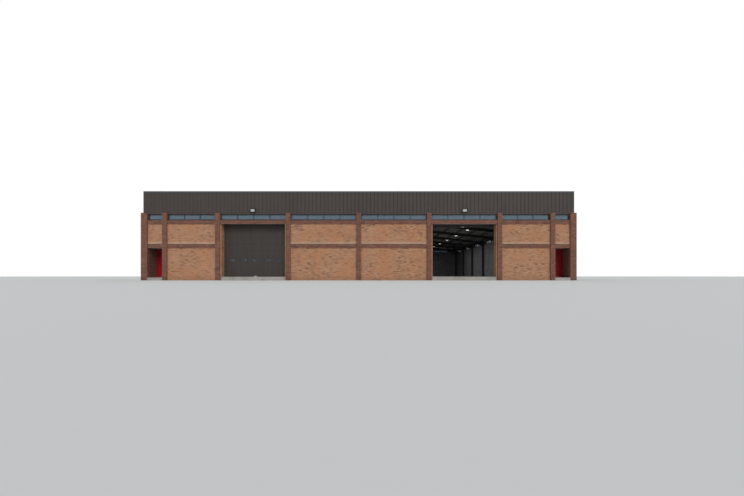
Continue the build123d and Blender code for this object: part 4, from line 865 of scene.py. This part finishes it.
for centre, travel in ((-DOOR_CENTRE, 0.005), (DOOR_CENTRE, DOOR_HEAD - 0.19 - FLOOR_TOP)):
    frames = section_frames(travel)
    for n0, n1 in ((SKIN, SKIN + 0.007), (-0.006, 0.0)):
        rims.append(on_section(frames[2], centre, [
            (x + a, x + b, SECTION_TALL / 2 + c, SECTION_TALL / 2 + d, n0, n1) for x in PANE_X for a, b, c, d in RIM]))
    rails.append(on_section(frames[0], centre, FOOT_RAILS))
    seals.append(on_section(frames[0], centre, FOOT_SEAL))
    pulls.append(on_section(frames[0], centre, PULL))
    for n, section in enumerate(frames):
        rows = []
        for x in HINGE_X:
            if n:
                rows += [(x - 0.035, x + 0.035, 0.006, 0.05, -0.003, 0),
                         (x - 0.028, x + 0.028, -0.006, 0.006, -0.013, -0.003)]
            if n < SECTIONS - 1:
                rows.append((x - 0.035, x + 0.035, SECTION_TALL - 0.05, SECTION_TALL - 0.006, -0.003, 0))
        for x in (-CURTAIN_HALF + 0.02, CURTAIN_HALF - 0.02):
            rows.append((x - 0.02, x + 0.02, 0.055 if n else 0.065, SECTION_TALL - 0.055, -0.002, 0))
        hinges.append(on_section(section, centre, rows))
    places = [(centre + s * (CURTAIN_HALF + 0.0185), FRONT + foot[0], foot[1])
              for foot, _, _ in frames for s in (-1, 1) if foot[1] > FLOOR_TOP + 0.03]
    rollers.append(turned(WHEEL, 12, places, "x"))
simple_piece("pane_rims", rims, LAMP_METAL)
simple_piece("door_foot_rails", rails, SECTION)
simple_piece("door_foot_seals", seals, RUBBER)
simple_piece("door_pulls", pulls, ANODISED)
simple_piece("section_hinges", hinges, GALVANISED)
simple_piece("track_rollers", rollers, RUBBER)

# Steel lintel plates under the dark brick over the vehicle doorways and the entrances
LINTEL_RECESS = 0.065
rows = [(front.bays[n][0] + inset, front.bays[n][1] - inset, LINTEL_RECESS, WALL_INNER, head - thick, head)
        for bays, inset, head, thick in ((DOOR_BAYS, JAMB_NIB, DOOR_HEAD, 0.006), (ENTRY_BAYS, 0, MID_FOOT, 0.005))
        for n in bays]
simple_piece("lintel_plates", [boxes(rows, front)], GALVANISED)

# Shaft, grooved drums, spring cones and coiled springs over each vehicle door
SHAFT_Z, SHAFT_Y, SHAFT_HALF = DOOR_HEAD + 0.48, FRONT + 0.7, CURTAIN_HALF + 0.0003 + 0.04 + 0.008
SHAFT = [(0, -SHAFT_HALF), (0.017, -SHAFT_HALF), (0.017, SHAFT_HALF), (0, SHAFT_HALF)]
GROOVED = [point for n in range(6) for point in ((0.072, -0.0155 + n * 0.006), (0.078, -0.0125 + n * 0.006))]
DRUM = [(0, -0.025), (0.08, -0.025), (0.08, -0.019)] + GROOVED + [(0.08, 0.02), (0.08, 0.025), (0, 0.025)]
CONE = [(0, -0.03), (0.036, -0.03), (0.04, 0.0), (0.04, 0.03), (0, 0.03)]
DRUM_X, CONE_X = SHAFT_HALF - 0.08 - 0.025, (-0.99, -0.15, 0.15, 0.99)
ROUNDS, STEPS, RING, COIL, WIRE = 70, 70 * 12, 6, 0.045, 0.0045


def coil(centre, sign):
    """A 9 mm wire of round section carried along a helix about the shaft, of radius 45 mm and 12 mm pitch."""
    t = np.linspace(0, ROUNDS * 2 * math.pi, STEPS)
    radial = np.stack([np.zeros_like(t), np.cos(t), np.sin(t)], -1)
    core = columns(centre + sign * (0.14 + 0.86 * t / t[-1]), SHAFT_Y, SHAFT_Z) + COIL * radial
    a = np.arange(RING) * 2 * math.pi / RING
    along = np.array([1.0, 0, 0])
    points = core[:, None] + WIRE * (np.cos(a)[:, None] * radial[:, None] + np.sin(a)[:, None] * along)
    last = (STEPS - 1) * RING
    ends = [(3, 2, 1, 0), (5, 4, 3, 0), (last, last + 1, last + 2, last + 3), (last, last + 3, last + 4, last + 5)]
    return points.reshape(-1, 3), np.concatenate([grid_quads(STEPS, RING, wrap=True), ends])[:, ::-1]


shafts, coils = [], []
for centre in (-DOOR_CENTRE, DOOR_CENTRE):
    for profile, sides, offsets in ((SHAFT, 16, (0,)), (DRUM, 24, (-DRUM_X, DRUM_X)), (CONE, 16, CONE_X)):
        shafts.append(turned(profile, sides, [(centre + x, SHAFT_Y, SHAFT_Z) for x in offsets], "x"))
    coils += [coil(centre, s) for s in (-1, 1)]
simple_piece("lifting_shafts", shafts, GALVANISED, ("door_shafts",))
simple_piece("balance_springs", coils, PRIMED, smooth=True)

# Floodlight fins, the bezel over the edges of its glass and the clamp knobs of its stirrup.
# In the lamp's own axes x runs across, y up the glass and z from its face to its back; all tilts with the lamp
FIN_X = (np.arange(9) - 4) * 0.034
FINS = columns(FIN_X - 0.002, FIN_X + 0.002, -0.1, 0.1, 0.058, 0.078)
BEZEL = np.array([(-0.164, -0.135, -0.094, 0.094), (0.135, 0.164, -0.094, 0.094), (-0.135, 0.135, -0.094, -0.086),
                  (-0.135, 0.135, 0.086, 0.094)])
KNOB = [(0, -0.012), (0.018, -0.012), (0.02, -0.004), (0.02, 0.0), (0, 0.0)]
TILT = math.radians(25)
LAMP_Y, LAMP_Z = FRONT - 0.08 + math.sin(TILT) * 0.13, WINDOW_HEAD + 0.24
lamp_axes = np.array([(1, 0, 0), (0, -math.sin(TILT), math.cos(TILT)), (0, math.cos(TILT), math.sin(TILT))])
fins = []
for centre in (-DOOR_CENTRE, DOOR_CENTRE):
    points, quads = boxes(np.concatenate([FINS, columns(*BEZEL.T, -0.0015, 0.0003)]))
    fins.append((points @ lamp_axes + (centre, LAMP_Y, LAMP_Z), quads[:, ::-1]))
    fins.append(turned(KNOB, 12, [(centre - 0.206, LAMP_Y + 0.03, LAMP_Z)], "x"))
simple_piece("floodlight_fins", fins, LAMP_METAL)

# Lock cylinders and weather bars of the entrance doors
ROSE = [(0, -0.005), (0.024, -0.005), (0.026, -0.002), (0.026, 0.0), (0, 0)]
LOCK_Y, LOCK_Z, LOCK_INSET, BAR_INSET = FRONT + RECESS_BACK - 0.044, FLOOR_TOP + 1.2, 0.07, 0.02
for name, s in (("left", -1), ("right", 1)):
    low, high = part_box(f"{name}_entrance_door")
    free_edge = low[0] if s > 0 else high[0]
    rose = turned(ROSE, 16, [(free_edge + s * LOCK_INSET, LOCK_Y, LOCK_Z)], "y")
    bar = boxes([(low[0] + BAR_INSET, high[0] - BAR_INSET, FRONT + 1.274, FRONT + 1.286,
                  FLOOR_TOP + 0.012, FLOOR_TOP + 0.045)])
    simple_piece(f"{name}_door_lock", [rose, bar], ANODISED, body=f"{name}_door")

# Camera, floor and light


def put_in_scene(name, data, place, way):
    """A camera or light at a place, looking or shining along a way."""
    thing = bpy.data.objects.new(name, data)
    thing.location = place
    thing.rotation_euler = Vector(way).to_track_quat("-Z", "Y").to_euler()
    bpy.context.scene.collection.objects.link(thing)
    return thing


camera_data = bpy.data.cameras.new("camera")
camera_data.lens, camera_data.sensor_width = 17.0, 36.0
camera_data.shift_x, camera_data.shift_y = -0.004, 0.0376
bpy.context.scene.camera = put_in_scene("camera", camera_data, (1.15, FRONT - 24.85, 0.31), (0, 1, 0))

# A plain pale floor, flat at the foot of the walls; seen far off it fades into the white ground
FLOOR_HALF = 220.0
floor_material = Finish("studio_floor").put(Base_Color="#D6D6D4", Roughness=0.9, Specular_IOR_Level=0.1)
floor_points = [(x * FLOOR_HALF, y * FLOOR_HALF, 0) for x, y in ((-1, -1), (1, -1), (1, 1), (-1, 1))]
mesh_object("studio_floor", floor_points, [(0, 1, 2, 3)], [floor_material])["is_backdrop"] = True

# Soft pale light from all round; camera, gloss and glass see plain white there instead
world = bpy.data.worlds.new("studio_world")
bpy.context.scene.world = world
sky = Nodes(world)
seen = sky.add("LightPath", out="Is Camera Ray")
for ray in ("Is Glossy Ray", "Is Transmission Ray"):
    seen = sky.add("Math", {0: seen, 1: sky.add("LightPath", out=ray)}, operation="MAXIMUM")
ambient = sky.add("Background", {"Color": "#E9EEF3", "Strength": 0.62})
white = sky.add("Background", {"Color": "#FFFFFF", "Strength": 1.0})
sky.feed(sky.tree.nodes["World Output"].inputs["Surface"], sky.add("MixShader", {0: seen, 1: ambient, 2: white}))

# A broad soft sun from the front
sun = bpy.data.lights.new("key_light", "SUN")
sun.energy, sun.angle = 1.5, math.radians(35)
put_in_scene("key_light", sun, (0, 0, 0), (-0.3, 0.8, -0.65))
# A wide soft light under each hall's roof, for its lit lamps: shines down, out of sight of camera and gloss
for name, x in (("left_hall_light", -HALL / 2), ("right_hall_light", HALL / 2)):
    glow = bpy.data.lights.new(name, "AREA")
    glow.shape, glow.size, glow.size_y, glow.energy = "RECTANGLE", 11.0, 26.0, 600
    light = put_in_scene(name, glow, (x, FRONT + 15.5, 4.6), (0, 0, -1))
    light.visible_camera = light.visible_glossy = light.visible_transmission = False
bpy.context.scene.view_settings.view_transform = "Standard"

low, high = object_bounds()
